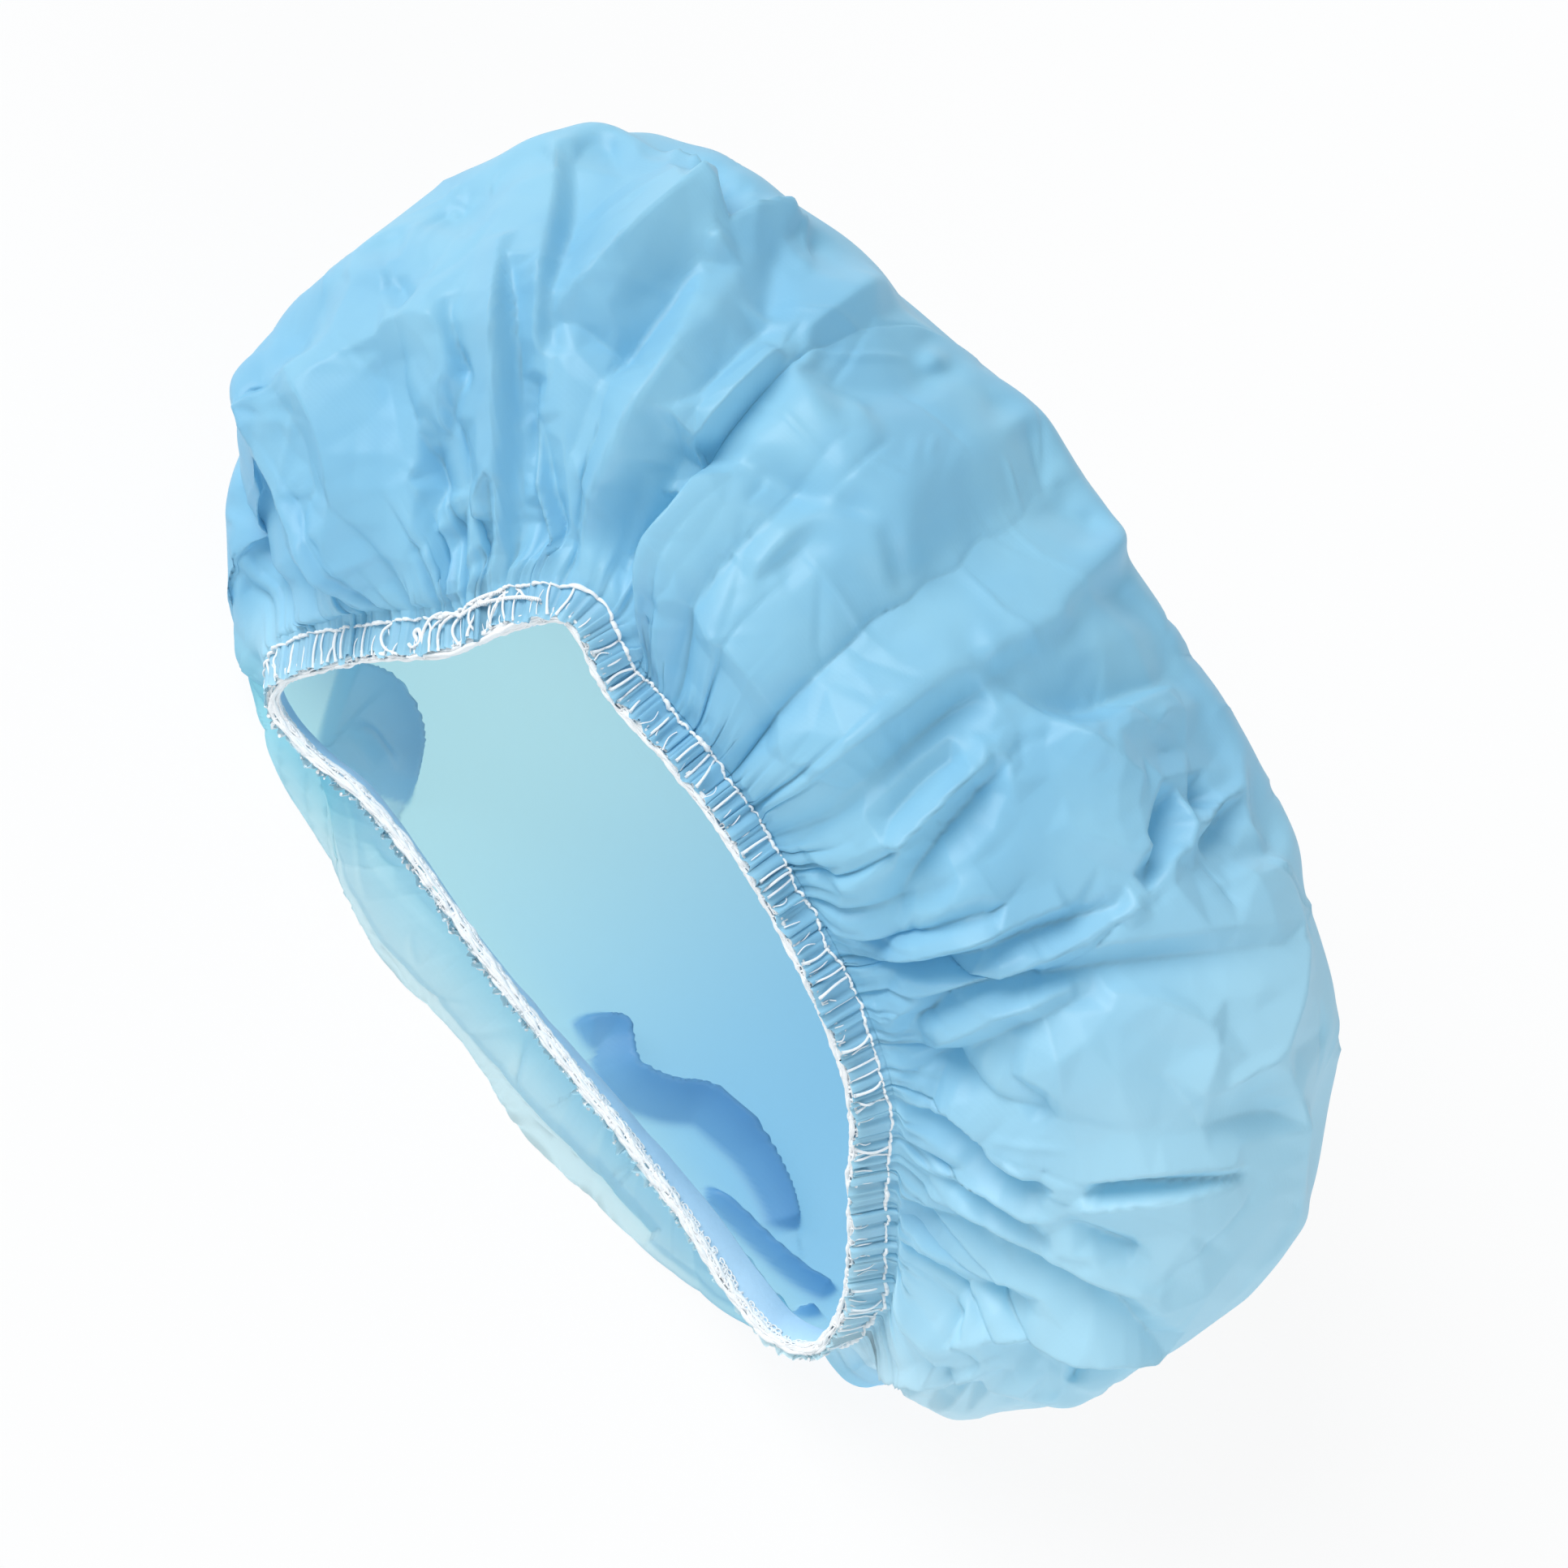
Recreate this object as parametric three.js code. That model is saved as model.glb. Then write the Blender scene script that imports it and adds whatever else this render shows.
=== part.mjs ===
// A gathered shower cap: one disc of thin film, drawn in at its rim by a sewn elastic band.
// It lies on its side on a table, the plane z = 0, as someone has put it down. The mouth faces
// -Y and leans back, the crown points to +Y, and the long way of the mouth runs along X.
// Lengths are in millimetres and angles in degrees.
import * as THREE from 'three';

// The body of film. Its widest outline lies in a plane that rises towards the crown.
const BODY_LENGTH = 303;
const BODY_BREADTH = 184;
const UPPER_DEPTH = 72;
const LOWER_DEPTH = 72;
const TABLE_DROP = 66;
const OUTLINE_LEAN = 29;
const SECTION_POWER = 2.3;
const FILM_WALL = 1;

// The widest outline against a plain ellipse, every 15 degrees from +X towards the crown.
const OUTLINE_SHARES = [
  1.0, 0.99, 0.995, 0.98, 0.96, 0.965, 0.995, 1.03, 1.03, 1.075, 1.12, 1.05,
  1.0, 1.03, 1.07, 1.11, 1.085, 1.095, 1.06, 1.09, 1.1, 1.115, 1.085, 1.02,
];

// The mouth, as the front edge of the elastic lies. Its plane leans back from the upright.
const MOUTH_LENGTH = 187;
const MOUTH_HEIGHT = 93;
const MOUTH_LEAN = 14;
const MOUTH_ASIDE = 6.4;
const MOUTH_FORWARD = 65.8;
const MOUTH_BELOW = 42.2;

// The mouth's outline: [share of its length from its middle, share of its height].
const MOUTH_SHARES = [
  [0.5, 0.03], [0.475, 0.235], [0.37, 0.515], [0.28, 0.72], [0.135, 0.86], [-0.05, 0.95],
  [-0.136, 0.955], [-0.237, 0.945], [-0.327, 0.99], [-0.363, 0.85], [-0.395, 0.6], [-0.446, 0.4],
  [-0.485, 0.2], [-0.5, 0.075], [-0.487, 0.01], [-0.43, -0.005], [-0.347, 0.045], [-0.276, 0.055],
  [-0.16, 0.033], [-0.03, 0.01], [0.186, -0.006], [0.302, -0.033], [0.39, -0.065], [0.462, -0.055],
];

// How far the hem opens out from the way into the cap, at each of those points. The film pulls it
// outwards at both sides, and the rim's lower right turns the other way.
const HEM_FLARES = [
  8, 34, 38, 30, 21, 17, 17, 20, 30, 43, 47, 47,
  45, 40, 33, 32, 34, 40, 45, 38, 20, 0, -16, -8,
];

// The elastic band, a strip whose two ends lap over each other and are tacked together.
const BAND_WIDTH = 8;
const BAND_THICKNESS = 0.9;
const BAND_INSET = 0.3;
const LAP_LENGTH = 14;
const LAP_RAMP = 9;
const LAP_PLACE_SHARE = 0.42;
const CLEARANCE = 0.3;

// The hem, the strip of film that is sewn to the band, and the gathers that spread from it.
const HEM_BEYOND_BAND = 0.7;
const FLARE_TURN_BELOW = 7;
const FLARE_TURN_ABOVE = 26;
const GATHER_DEPTH = 2.6;
const GATHER_REACH = 20;
const GATHER_VARIETY_SHARE = 0.35;
const COLUMNS_PER_GATHER = 4;

// The folds that show most. Each runs through places [share of the way round the rim, share of the
// way from the hem to the crown]. Its height is a share of FOLD_HEIGHT, negative where it is a
// valley, and its width a share of FOLD_WIDTH.
const FOLD_HEIGHT = 5;
const FOLD_WIDTH = 10;
const FOLD_FREE_FROM = 6;
const FOLD_FREE_TO = 32;
const FOLD_ROOM_FROM = 4;
const FOLD_ROOM_TO = 9;
const FOLD_SHARES = [
  { along: [[0.474, 0.45], [0.438, 0.28], [0.431, 0.19]], height: 0.6, width: 1 },
  { along: [[0.445, 0.27], [0.438, 0.13], [0.432, 0.03]], height: -0.9, width: 0.7 },
  { along: [[0.431, 0.22], [0.423, 0.3], [0.427, 0.42]], height: 1, width: 1.1 },
  { along: [[0.414, 0.21], [0.411, 0.27], [0.415, 0.37]], height: -0.9, width: 0.8 },
  { along: [[0.473, 0.45], [0.445, 0.45], [0.43, 0.42]], height: 0.9, width: 1.2 },
  { along: [[0.452, 0.46], [0.432, 0.45], [0.414, 0.37]], height: -0.8, width: 0.6 },
  { along: [[0.42, 0.5], [0.415, 0.38], [0.406, 0.18], [0.408, 0.03]], height: 0.8, width: 0.9 },
  { along: [[0.379, 0.35], [0.376, 0.29]], height: -0.5, width: 0.8 },
  { along: [[0.39, 0.19], [0.399, 0.07], [0.396, 0.01]], height: -0.9, width: 0.8 },
  { along: [[0.385, 0.35], [0.349, 0.33], [0.327, 0.32]], height: 0.6, width: 0.9 },
  { along: [[0.368, 0.24], [0.348, 0.26], [0.336, 0.29]], height: -0.6, width: 0.8 },
  { along: [[0.326, 0.33], [0.325, 0.44], [0.335, 0.69]], height: 0.6, width: 1.1 },
  { along: [[0.312, 0.29], [0.31, 0.42], [0.311, 0.63]], height: -0.75, width: 1 },
  { along: [[0.387, 0.37], [0.393, 0.44], [0.41, 0.57]], height: 0.6, width: 0.8 },
  { along: [[0.369, 0.38], [0.349, 0.45], [0.344, 0.51]], height: -0.7, width: 1 },
  { along: [[0.285, 0.33], [0.282, 0.47], [0.285, 0.7]], height: 0.7, width: 1 },
  { along: [[0.282, 0.33], [0.26, 0.42], [0.232, 0.67]], height: -0.9, width: 0.9 },
  { along: [[0.285, 0.32], [0.287, 0.18], [0.288, 0.11]], height: 0.6, width: 1 },
  { along: [[0.277, 0.31], [0.279, 0.12], [0.269, 0.02]], height: -0.8, width: 0.8 },
  { along: [[0.262, 0.26], [0.254, 0.13], [0.242, 0.07]], height: -0.6, width: 0.6 },
  { along: [[0.233, 0.46], [0.227, 0.38], [0.221, 0.35]], height: -0.8, width: 0.6 },
  { along: [[0.174, 0.02], [0.214, 0.22], [0.205, 0.35], [0.186, 0.48]], height: -0.9, width: 0.8 },
  { along: [[0.186, 0.02], [0.22, 0.19], [0.22, 0.34]], height: 0.5, width: 0.7 },
  { along: [[0.16, 0.02], [0.198, 0.16], [0.207, 0.26]], height: -0.7, width: 0.7 },
  { along: [[0.16, 0.18], [0.163, 0.24], [0.156, 0.33]], height: -0.8, width: 0.5 },
  { along: [[0.106, 0.02], [0.129, 0.13], [0.111, 0.26]], height: -0.9, width: 0.8 },
  { along: [[0.183, 0.5], [0.167, 0.39], [0.119, 0.4]], height: 0.4, width: 0.7 },
  { along: [[0.502, 0.21], [0.502, 0.11], [0.531, 0.03]], height: 0.7, width: 0.8 },
  { along: [[0.471, 0.21], [0.473, 0.16], [0.475, 0.1]], height: -0.5, width: 1.2 },
  { along: [[0.051, 0.07], [0.102, 0.15], [0.111, 0.26]], height: 0.5, width: 0.6 },
];

// The sewing threads.
const THREAD_DIAMETER = 0.6;
const NEEDLE_MARGIN = 0.9;
const LADDER_FOOT = 0.9;
const EDGE_HOOK = 1.7;
const TACK_MARGIN = 1.7;
const LOOSE_OVERRUN = 0.8;

// How finely each piece is divided.
const COLUMNS = 96;
const HEM_ROWS = 2;
const BODY_ROWS = 17;
const ROW_CROWDING = 1.25;
const THREAD_SIDES = 4;
const FOLD_STEPS = 12;
const LOOSE_STITCHES = 7;
const TACK_STITCHES = 4;

const radians = THREE.MathUtils.degToRad;
const forward = new THREE.Vector3(0, -1, 0);

// Joins rings of points into one closed surface: a loop of rings, or a tube with capped ends.
function skinOf(rings, isLoop) {
  const size = rings[0].length;
  const positions = rings.flat().flatMap((point) => point.toArray());
  const faces = [];
  const spans = isLoop ? rings.length : rings.length - 1;
  for (let r = 0; r < spans; r++) {
    const next = (r + 1) % rings.length;
    for (let k = 0; k < size; k++) {
      const side = (k + 1) % size;
      const corners = [r * size + k, r * size + side, next * size + side, next * size + k];
      faces.push(corners[0], corners[1], corners[2], corners[0], corners[2], corners[3]);
    }
  }
  if (!isLoop) {
    const last = (rings.length - 1) * size;
    for (let k = 1; k < size - 1; k++) {
      faces.push(0, k + 1, k);
      faces.push(last, last + k, last + k + 1);
    }
  }
  return facingOut(positions, faces);
}

// A geometry whose faces point outwards, whichever way round they were listed.
function facingOut(positions, faces) {
  const at = (i) => new THREE.Vector3().fromArray(positions, i * 3);
  let volume = 0;
  for (let f = 0; f < faces.length; f += 3) {
    volume += at(faces[f]).dot(at(faces[f + 1]).cross(at(faces[f + 2])));
  }
  if (volume < 0) faces.reverse();
  const geometry = new THREE.BufferGeometry();
  geometry.setAttribute('position', new THREE.Float32BufferAttribute(positions, 3));
  geometry.setIndex(faces);
  return geometry;
}

// A round tube through points, carried along without twist. A loop's last frame meets its first.
function tubeThrough(points, diameter, sides, isLoop) {
  const count = points.length;
  const pick = (i) => points[isLoop ? (i + count) % count : THREE.MathUtils.clamp(i, 0, count - 1)];
  const tangents = points.map((_, i) => pick(i + 1).clone().sub(pick(i - 1)).normalize());
  const start = new THREE.Vector3(0, 0, 1).cross(tangents[0]).normalize();
  const normals = [start];
  for (let i = 1; i < count; i++) {
    const turn = new THREE.Quaternion().setFromUnitVectors(tangents[i - 1], tangents[i]);
    normals.push(normals[i - 1].clone().applyQuaternion(turn));
  }
  let twist = 0;
  if (isLoop) {
    const close = new THREE.Quaternion().setFromUnitVectors(tangents[count - 1], tangents[0]);
    const arrived = normals[count - 1].clone().applyQuaternion(close);
    twist = Math.atan2(tangents[0].clone().cross(arrived).dot(start), arrived.dot(start));
  }
  const rings = points.map((point, i) => {
    const across = normals[i].clone().applyAxisAngle(tangents[i], (twist * i) / count);
    return Array.from({ length: sides }, (_, k) => {
      const arm = across.clone().applyAxisAngle(tangents[i], (2 * Math.PI * k) / sides);
      return point.clone().addScaledVector(arm, diameter / 2);
    });
  });
  return skinOf(rings, isLoop);
}

// The body's middle, which every direction in the film is measured from.
const middle = new THREE.Vector3(0, 0, TABLE_DROP);

// A smooth curve through a list of numbers that closes on itself, at a place from 0 to 1.
function roundList(list, place) {
  const at = (((place % 1) + 1) % 1) * list.length;
  const index = Math.floor(at);
  const t = at - index;
  const [a, b, c, d] = [-1, 0, 1, 2].map((k) => list[(index + k + list.length) % list.length]);
  return b + 0.5 * t * (c - a + t * (2 * a - 5 * b + 4 * c - d + t * (3 * (b - c) + d - a)));
}

// How far the plain outline reaches in the leaning plane, at an angle from +X.
function outlineReach(angle) {
  const share = roundList(OUTLINE_SHARES, angle / (2 * Math.PI));
  return share / Math.hypot(Math.cos(angle) / (BODY_LENGTH / 2), Math.sin(angle) / (BODY_BREADTH / 2));
}

// How far the film lies from the body's middle in a direction.
function filmReach(direction) {
  const lean = radians(OUTLINE_LEAN);
  const along = direction.y * Math.cos(lean) + direction.z * Math.sin(lean);
  const above = direction.z * Math.cos(lean) - direction.y * Math.sin(lean);
  const flat = Math.hypot(direction.x, along) / outlineReach(Math.atan2(along, direction.x));
  const deep = Math.abs(above) / (above > 0 ? UPPER_DEPTH : LOWER_DEPTH);
  return (flat ** SECTION_POWER + deep ** SECTION_POWER) ** (-1 / SECTION_POWER);
}

// The rim: at each column a point on the band's outer front edge, with the way across the band,
// into the cap, and the way out through the film.
function makeRim() {
  const lean = radians(MOUTH_LEAN);
  const upward = new THREE.Vector3(0, Math.sin(lean), Math.cos(lean));
  const inward = new THREE.Vector3(0, Math.cos(lean), -Math.sin(lean));
  const foot = middle.clone().add(new THREE.Vector3(MOUTH_ASIDE, -MOUTH_FORWARD, -MOUTH_BELOW));
  const corners = MOUTH_SHARES.map(([x, w]) =>
    foot.clone().add(new THREE.Vector3(x * MOUTH_LENGTH, 0, 0)).addScaledVector(upward, w * MOUTH_HEIGHT));
  const curve = new THREE.CatmullRomCurve3(corners, true, 'centripetal');
  curve.arcLengthDivisions = COLUMNS * 8;
  return Array.from({ length: COLUMNS }, (_, i) => {
    const point = curve.getPointAt(i / COLUMNS);
    const tangent = curve.getTangentAt(i / COLUMNS);
    const outward = inward.clone().cross(tangent).normalize();
    if (outward.dot(point.clone().sub(foot.clone().addScaledVector(upward, MOUTH_HEIGHT / 2))) < 0) {
      outward.negate();
    }
    const flare = radians(roundList(HEM_FLARES, curve.getUtoTmapping(i / COLUMNS)));
    const across = inward.clone().multiplyScalar(Math.cos(flare)).addScaledVector(outward, Math.sin(flare));
    const out = outward.clone().multiplyScalar(Math.cos(flare)).addScaledVector(inward, -Math.sin(flare));
    return { point, across, out, perimeter: curve.getLength() };
  });
}

const rim = makeRim();
const perimeter = rim[0].perimeter;

// A point by the rim: a column, how far across the band it lies and how far out of it.
function byRim(column, across, out) {
  const at = rim[((column % COLUMNS) + COLUMNS) % COLUMNS];
  return at.point.clone().addScaledVector(at.across, across).addScaledVector(at.out, out);
}

// Levels above the band's outer face, outwards.
const filmInside = CLEARANCE;
const filmOutside = filmInside + FILM_WALL;
const threadRadius = THREAD_DIAMETER / 2;
const ladderLevel = filmOutside + CLEARANCE + threadRadius;
const looseLevel = ladderLevel + THREAD_DIAMETER + 2 * CLEARANCE;

// Places across the hem, from its front edge.
const bandBack = BAND_INSET + BAND_WIDTH;
const hemWidth = bandBack + HEM_BEYOND_BAND;
const needleLine = bandBack - NEEDLE_MARGIN;
const ladderTop = needleLine - THREAD_DIAMETER - 2 * CLEARANCE;
const tackStart = EDGE_HOOK + THREAD_DIAMETER + CLEARANCE;
const tackEnd = bandBack - TACK_MARGIN;
const looseTop = needleLine + LOOSE_OVERRUN;

// How far the gathers swing in and out at a distance from the hem. Each has its own depth.
function gatherSwing(column, distance) {
  const gather = column / COLUMNS_PER_GATHER;
  const depth = 1 + GATHER_VARIETY_SHARE * (Math.sin(gather * 2.4) + Math.cos(gather * 5.1));
  const rise = (distance / GATHER_REACH) * Math.exp(1 - distance / GATHER_REACH);
  return GATHER_DEPTH * depth * rise * Math.cos(2 * Math.PI * gather);
}

// One column of the film's outer skin, from the front edge of the hem nearly to the crown.
function filmColumn(column) {
  const hem = Array.from({ length: HEM_ROWS + 1 }, (_, j) =>
    byRim(column, (hemWidth * j) / HEM_ROWS, filmOutside));
  const back = hem[HEM_ROWS].clone().sub(middle);
  const startReach = back.length();
  const startTurn = back.angleTo(forward);
  const sideways = new THREE.Vector3(back.x, 0, back.z).normalize();
  const height = THREE.MathUtils.smoothstep(sideways.z, -0.4, 0.6);
  const flareTurn = radians(THREE.MathUtils.lerp(FLARE_TURN_BELOW, FLARE_TURN_ABOVE, height));
  const body = [];
  let before = hem[HEM_ROWS];
  let distance = 0;
  for (let j = 1; j < BODY_ROWS; j++) {
    const turn = startTurn + (Math.PI - startTurn) * (j / BODY_ROWS) ** ROW_CROWDING;
    const direction = forward.clone().multiplyScalar(Math.cos(turn)).addScaledVector(sideways, Math.sin(turn));
    const open = THREE.MathUtils.smoothstep(turn, startTurn, startTurn + flareTurn);
    const reach = THREE.MathUtils.lerp(startReach, filmReach(direction), open);
    const point = middle.clone().addScaledVector(direction, reach);
    distance += point.distanceTo(before);
    before = point.clone();
    point.addScaledVector(direction, gatherSwing(column, distance));
    body.push(point);
  }
  return [...hem, ...body];
}

// The distance of each point of a column from the hem, in mm.
function runLengths(points) {
  const lengths = [0];
  for (let j = 1; j < points.length; j++) {
    lengths.push(lengths[j - 1] + points[j].distanceTo(points[j - 1]));
  }
  return lengths;
}

// The point at a share of the way from the hem to the crown on a column without its hem.
function pointUp(column, share) {
  const lengths = runLengths(column);
  const at = share * lengths[lengths.length - 1];
  const j = Math.min(lengths.findLastIndex((length) => length <= at), column.length - 2);
  return column[j].clone().lerp(column[j + 1], (at - lengths[j]) / (lengths[j + 1] - lengths[j]));
}

// A sheet's normals at its points, on its side away from the body's middle.
function sheetNormals(points, faces) {
  const sheet = new THREE.BufferGeometry().setFromPoints(points);
  sheet.setIndex(faces);
  sheet.computeVertexNormals();
  const normals = points.map((_, i) => new THREE.Vector3().fromBufferAttribute(sheet.attributes.normal, i));
  const last = points.length - 1;
  const sense = Math.sign(normals[last].dot(points[last].clone().sub(middle)));
  return normals.map((normal) => normal.multiplyScalar(sense));
}

// How far the main folds raise or sink the film: one list of distances for each column. They fade
// out near the hem and where the columns crowd together.
function foldShifts(columns, crown) {
  const bodies = columns.map((points) => [...points.slice(HEM_ROWS), crown]);
  const folds = FOLD_SHARES.map(({ along, height, width }) => ({
    line: new THREE.CatmullRomCurve3(along.map(([place, share]) => {
      const column = place * COLUMNS;
      const before = pointUp(bodies[Math.floor(column)], share);
      return before.lerp(pointUp(bodies[Math.ceil(column) % COLUMNS], share), column % 1);
    })).getPoints(FOLD_STEPS),
    height: height * FOLD_HEIGHT,
    width: width * FOLD_WIDTH,
  }));
  return columns.map((points, i) => {
    const lengths = runLengths(bodies[i]);
    return points.map((point, j) => {
      if (j <= HEM_ROWS) return 0;
      const [before, after] = [-1, 1].map((k) => columns[(i + k + COLUMNS) % COLUMNS][j]);
      const room = THREE.MathUtils.smoothstep(before.distanceTo(after) / 2, FOLD_ROOM_FROM, FOLD_ROOM_TO);
      const free = THREE.MathUtils.smoothstep(lengths[j - HEM_ROWS], FOLD_FREE_FROM, FOLD_FREE_TO);
      const shift = folds.reduce((sum, { line, height, width }) => {
        const away = Math.min(...line.map((at) => at.distanceTo(point)));
        return sum + height * Math.exp(-((away / width) ** 2));
      }, 0);
      return free * room * THREE.MathUtils.clamp(shift, -FOLD_HEIGHT, FOLD_HEIGHT);
    });
  });
}

// The film: an outer skin, an inner skin one wall behind it, and a lip that joins them.
function filmGeometry() {
  const columns = Array.from({ length: COLUMNS }, (_, i) => filmColumn(i));
  const rows = columns[0].length;
  const crownWay = forward.clone().negate();
  const crown = middle.clone().addScaledVector(crownWay, filmReach(crownWay));
  const at = (i, j) => (i % COLUMNS) * rows + j;
  const skin = [];
  for (let i = 0; i < COLUMNS; i++) {
    for (let j = 0; j < rows - 1; j++) {
      const corners = [at(i, j), at(i + 1, j), at(i + 1, j + 1), at(i, j + 1)];
      skin.push(corners[0], corners[1], corners[2], corners[0], corners[2], corners[3]);
    }
    skin.push(at(i, rows - 1), at(i + 1, rows - 1), columns.length * rows);
  }
  const outer = [...columns.flat(), crown];
  const plainNormals = sheetNormals(outer, skin);
  [...foldShifts(columns, crown).flat(), 0].forEach((shift, i) => {
    outer[i].addScaledVector(plainNormals[i], shift);
    outer[i].z = Math.max(outer[i].z, 0);
  });
  const normals = sheetNormals(outer, skin);
  const inner = outer.map((point, i) => {
    const behind = point.clone().addScaledVector(normals[i], -FILM_WALL);
    behind.z = Math.max(behind.z, FILM_WALL);
    return behind;
  });
  for (let i = 0; i < COLUMNS; i++) {
    for (let j = 0; j <= HEM_ROWS; j++) {
      inner[at(i, j)] = byRim(i, (hemWidth * j) / HEM_ROWS, filmInside);
    }
  }
  const turned = skin.map((k) => k + outer.length).reverse();
  const lip = [];
  for (let i = 0; i < COLUMNS; i++) {
    const [a, b] = [at(i, 0), at(i + 1, 0)];
    lip.push(b, a, a + outer.length, b, a + outer.length, b + outer.length);
  }
  const positions = [...outer, ...inner].flatMap((point) => point.toArray());
  return facingOut(positions, [...skin, ...turned, ...lip]);
}

// Where the band's ends lap, counted in columns from the lap's middle.
const columnStep = perimeter / COLUMNS;
const lapColumn = Math.round(LAP_PLACE_SHARE * COLUMNS);
const lapHalf = Math.max(1, Math.round(LAP_LENGTH / columnStep / 2));
const rampColumns = Math.max(1, Math.round(LAP_RAMP / columnStep));
const lapLift = BAND_THICKNESS + CLEARANCE;

// The band's strip starts at one end of the lap and ends on the inside of its own start.
function bandGeometry() {
  const steps = COLUMNS + 2 * lapHalf;
  const rings = [];
  for (let s = 0; s <= steps; s++) {
    const left = steps - s;
    const lift = lapLift * THREE.MathUtils.clamp((2 * lapHalf + rampColumns - left) / rampColumns, 0, 1);
    const column = lapColumn - lapHalf + s;
    rings.push([
      byRim(column, BAND_INSET, -lift),
      byRim(column, bandBack, -lift),
      byRim(column, bandBack, -lift - BAND_THICKNESS),
      byRim(column, BAND_INSET, -lift - BAND_THICKNESS),
    ]);
  }
  return skinOf(rings, false);
}

// How deep the elastic is under the hem at a column, for the threads that go round it.
function elasticDepth(column) {
  const away = column - lapColumn;
  const lapped = away >= -lapHalf - rampColumns - 1 && away <= lapHalf + 1;
  return lapped ? lapLift + BAND_THICKNESS : BAND_THICKNESS;
}

// The needle's thread: a line of stitches round the hem, standing a little on every other column.
function needleThread() {
  const points = rim.map((_, i) => byRim(i, needleLine, ladderLevel + (i % 2 ? 0 : CLEARANCE)));
  return tubeThrough(points, THREAD_DIAMETER, THREAD_SIDES, true);
}

// The upper looper's thread: rungs over the hem, from the needle's line to the edge and back.
function ladderThread() {
  const points = rim.flatMap((_, i) => {
    const [first, second] = i % 2 ? [ladderTop, LADDER_FOOT] : [LADDER_FOOT, ladderTop];
    return [byRim(i, first, ladderLevel), byRim(i, second, ladderLevel)];
  });
  return tubeThrough(points, THREAD_DIAMETER, THREAD_SIDES, true);
}

// The lower looper's thread: it wraps the front edge and hooks over the elastic's inner face.
function edgeThread() {
  const front = -CLEARANCE - threadRadius;
  const points = rim.flatMap((_, i) => {
    const inside = -elasticDepth(i) - CLEARANCE - threadRadius;
    const wrap = [
      byRim(i, front, filmOutside - threadRadius),
      byRim(i, front, inside),
      byRim(i, EDGE_HOOK, inside),
    ];
    return i % 2 ? wrap.reverse() : wrap;
  });
  return tubeThrough(points, THREAD_DIAMETER, THREAD_SIDES, true);
}

// The tack that holds the lapped ends together: rungs across the inner end of the band.
function tackThread() {
  const level = -elasticDepth(lapColumn) - CLEARANCE - threadRadius;
  const points = [];
  for (let k = 0; k < TACK_STITCHES; k++) {
    const column = lapColumn - Math.floor(TACK_STITCHES / 2) + k;
    const [first, second] = k % 2 ? [tackEnd, tackStart] : [tackStart, tackEnd];
    points.push(byRim(column, first, level), byRim(column, second, level));
  }
  return tubeThrough(points, THREAD_DIAMETER, THREAD_SIDES, false);
}

// Loose loops where the seam runs on over its own start.
function looseThread() {
  const points = [];
  for (let k = 0; k < LOOSE_STITCHES; k++) {
    const column = lapColumn - Math.floor(LOOSE_STITCHES / 2) + k;
    const [first, second] = k % 2 ? [looseTop, LADDER_FOOT] : [LADDER_FOOT, looseTop];
    points.push(byRim(column, first, looseLevel), byRim(column, second, looseLevel));
  }
  return tubeThrough(points, THREAD_DIAMETER, THREAD_SIDES, false);
}

const filmLook = { color: 0x8fc9ea, roughness: 0.38, metalness: 0 };
const elasticLook = { color: 0xc4daf2, roughness: 0.85, metalness: 0 };
const threadLook = { color: 0xf4fbfc, roughness: 0.8, metalness: 0 };

// One named piece of the cap.
function piece(name, geometry, look) {
  const mesh = new THREE.Mesh(geometry, new THREE.MeshStandardMaterial(look));
  mesh.name = name;
  return mesh;
}

const cap = new THREE.Group();
cap.add(piece('cap_film', filmGeometry(), filmLook));
cap.add(piece('elastic_band', bandGeometry(), elasticLook));
cap.add(piece('needle_thread', needleThread(), threadLook));
cap.add(piece('upper_looper_thread', ladderThread(), threadLook));
cap.add(piece('lower_looper_thread', edgeThread(), threadLook));
cap.add(piece('elastic_join_tack', tackThread(), threadLook));
cap.add(piece('seam_overlap_thread', looseThread(), threadLook));

// The origin is on the table, under the middle of the whole cap.
const bounds = new THREE.Box3().setFromObject(cap, true);
const centre = bounds.getCenter(new THREE.Vector3());
cap.position.set(-centre.x, -centre.y, -bounds.min.z);

export default cap;
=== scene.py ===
import math

import bpy
import numpy as np
from mathutils import Matrix, Vector
from mathutils.geometry import delaunay_2d_cdt
from mathutils.kdtree import KDTree


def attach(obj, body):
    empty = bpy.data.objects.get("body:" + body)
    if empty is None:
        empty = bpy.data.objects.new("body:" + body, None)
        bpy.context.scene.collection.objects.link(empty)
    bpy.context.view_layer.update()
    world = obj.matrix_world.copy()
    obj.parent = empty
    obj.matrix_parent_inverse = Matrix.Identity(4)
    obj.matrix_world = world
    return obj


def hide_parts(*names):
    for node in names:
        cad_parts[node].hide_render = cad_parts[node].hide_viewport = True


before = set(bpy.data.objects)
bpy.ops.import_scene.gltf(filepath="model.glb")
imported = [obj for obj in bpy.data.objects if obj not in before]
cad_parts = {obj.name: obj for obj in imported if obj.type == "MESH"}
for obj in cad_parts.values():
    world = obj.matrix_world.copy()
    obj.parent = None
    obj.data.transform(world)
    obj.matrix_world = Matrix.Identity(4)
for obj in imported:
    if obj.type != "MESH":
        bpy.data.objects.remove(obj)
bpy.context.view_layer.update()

MM = 0.001
TAU = 2 * math.pi

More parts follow.
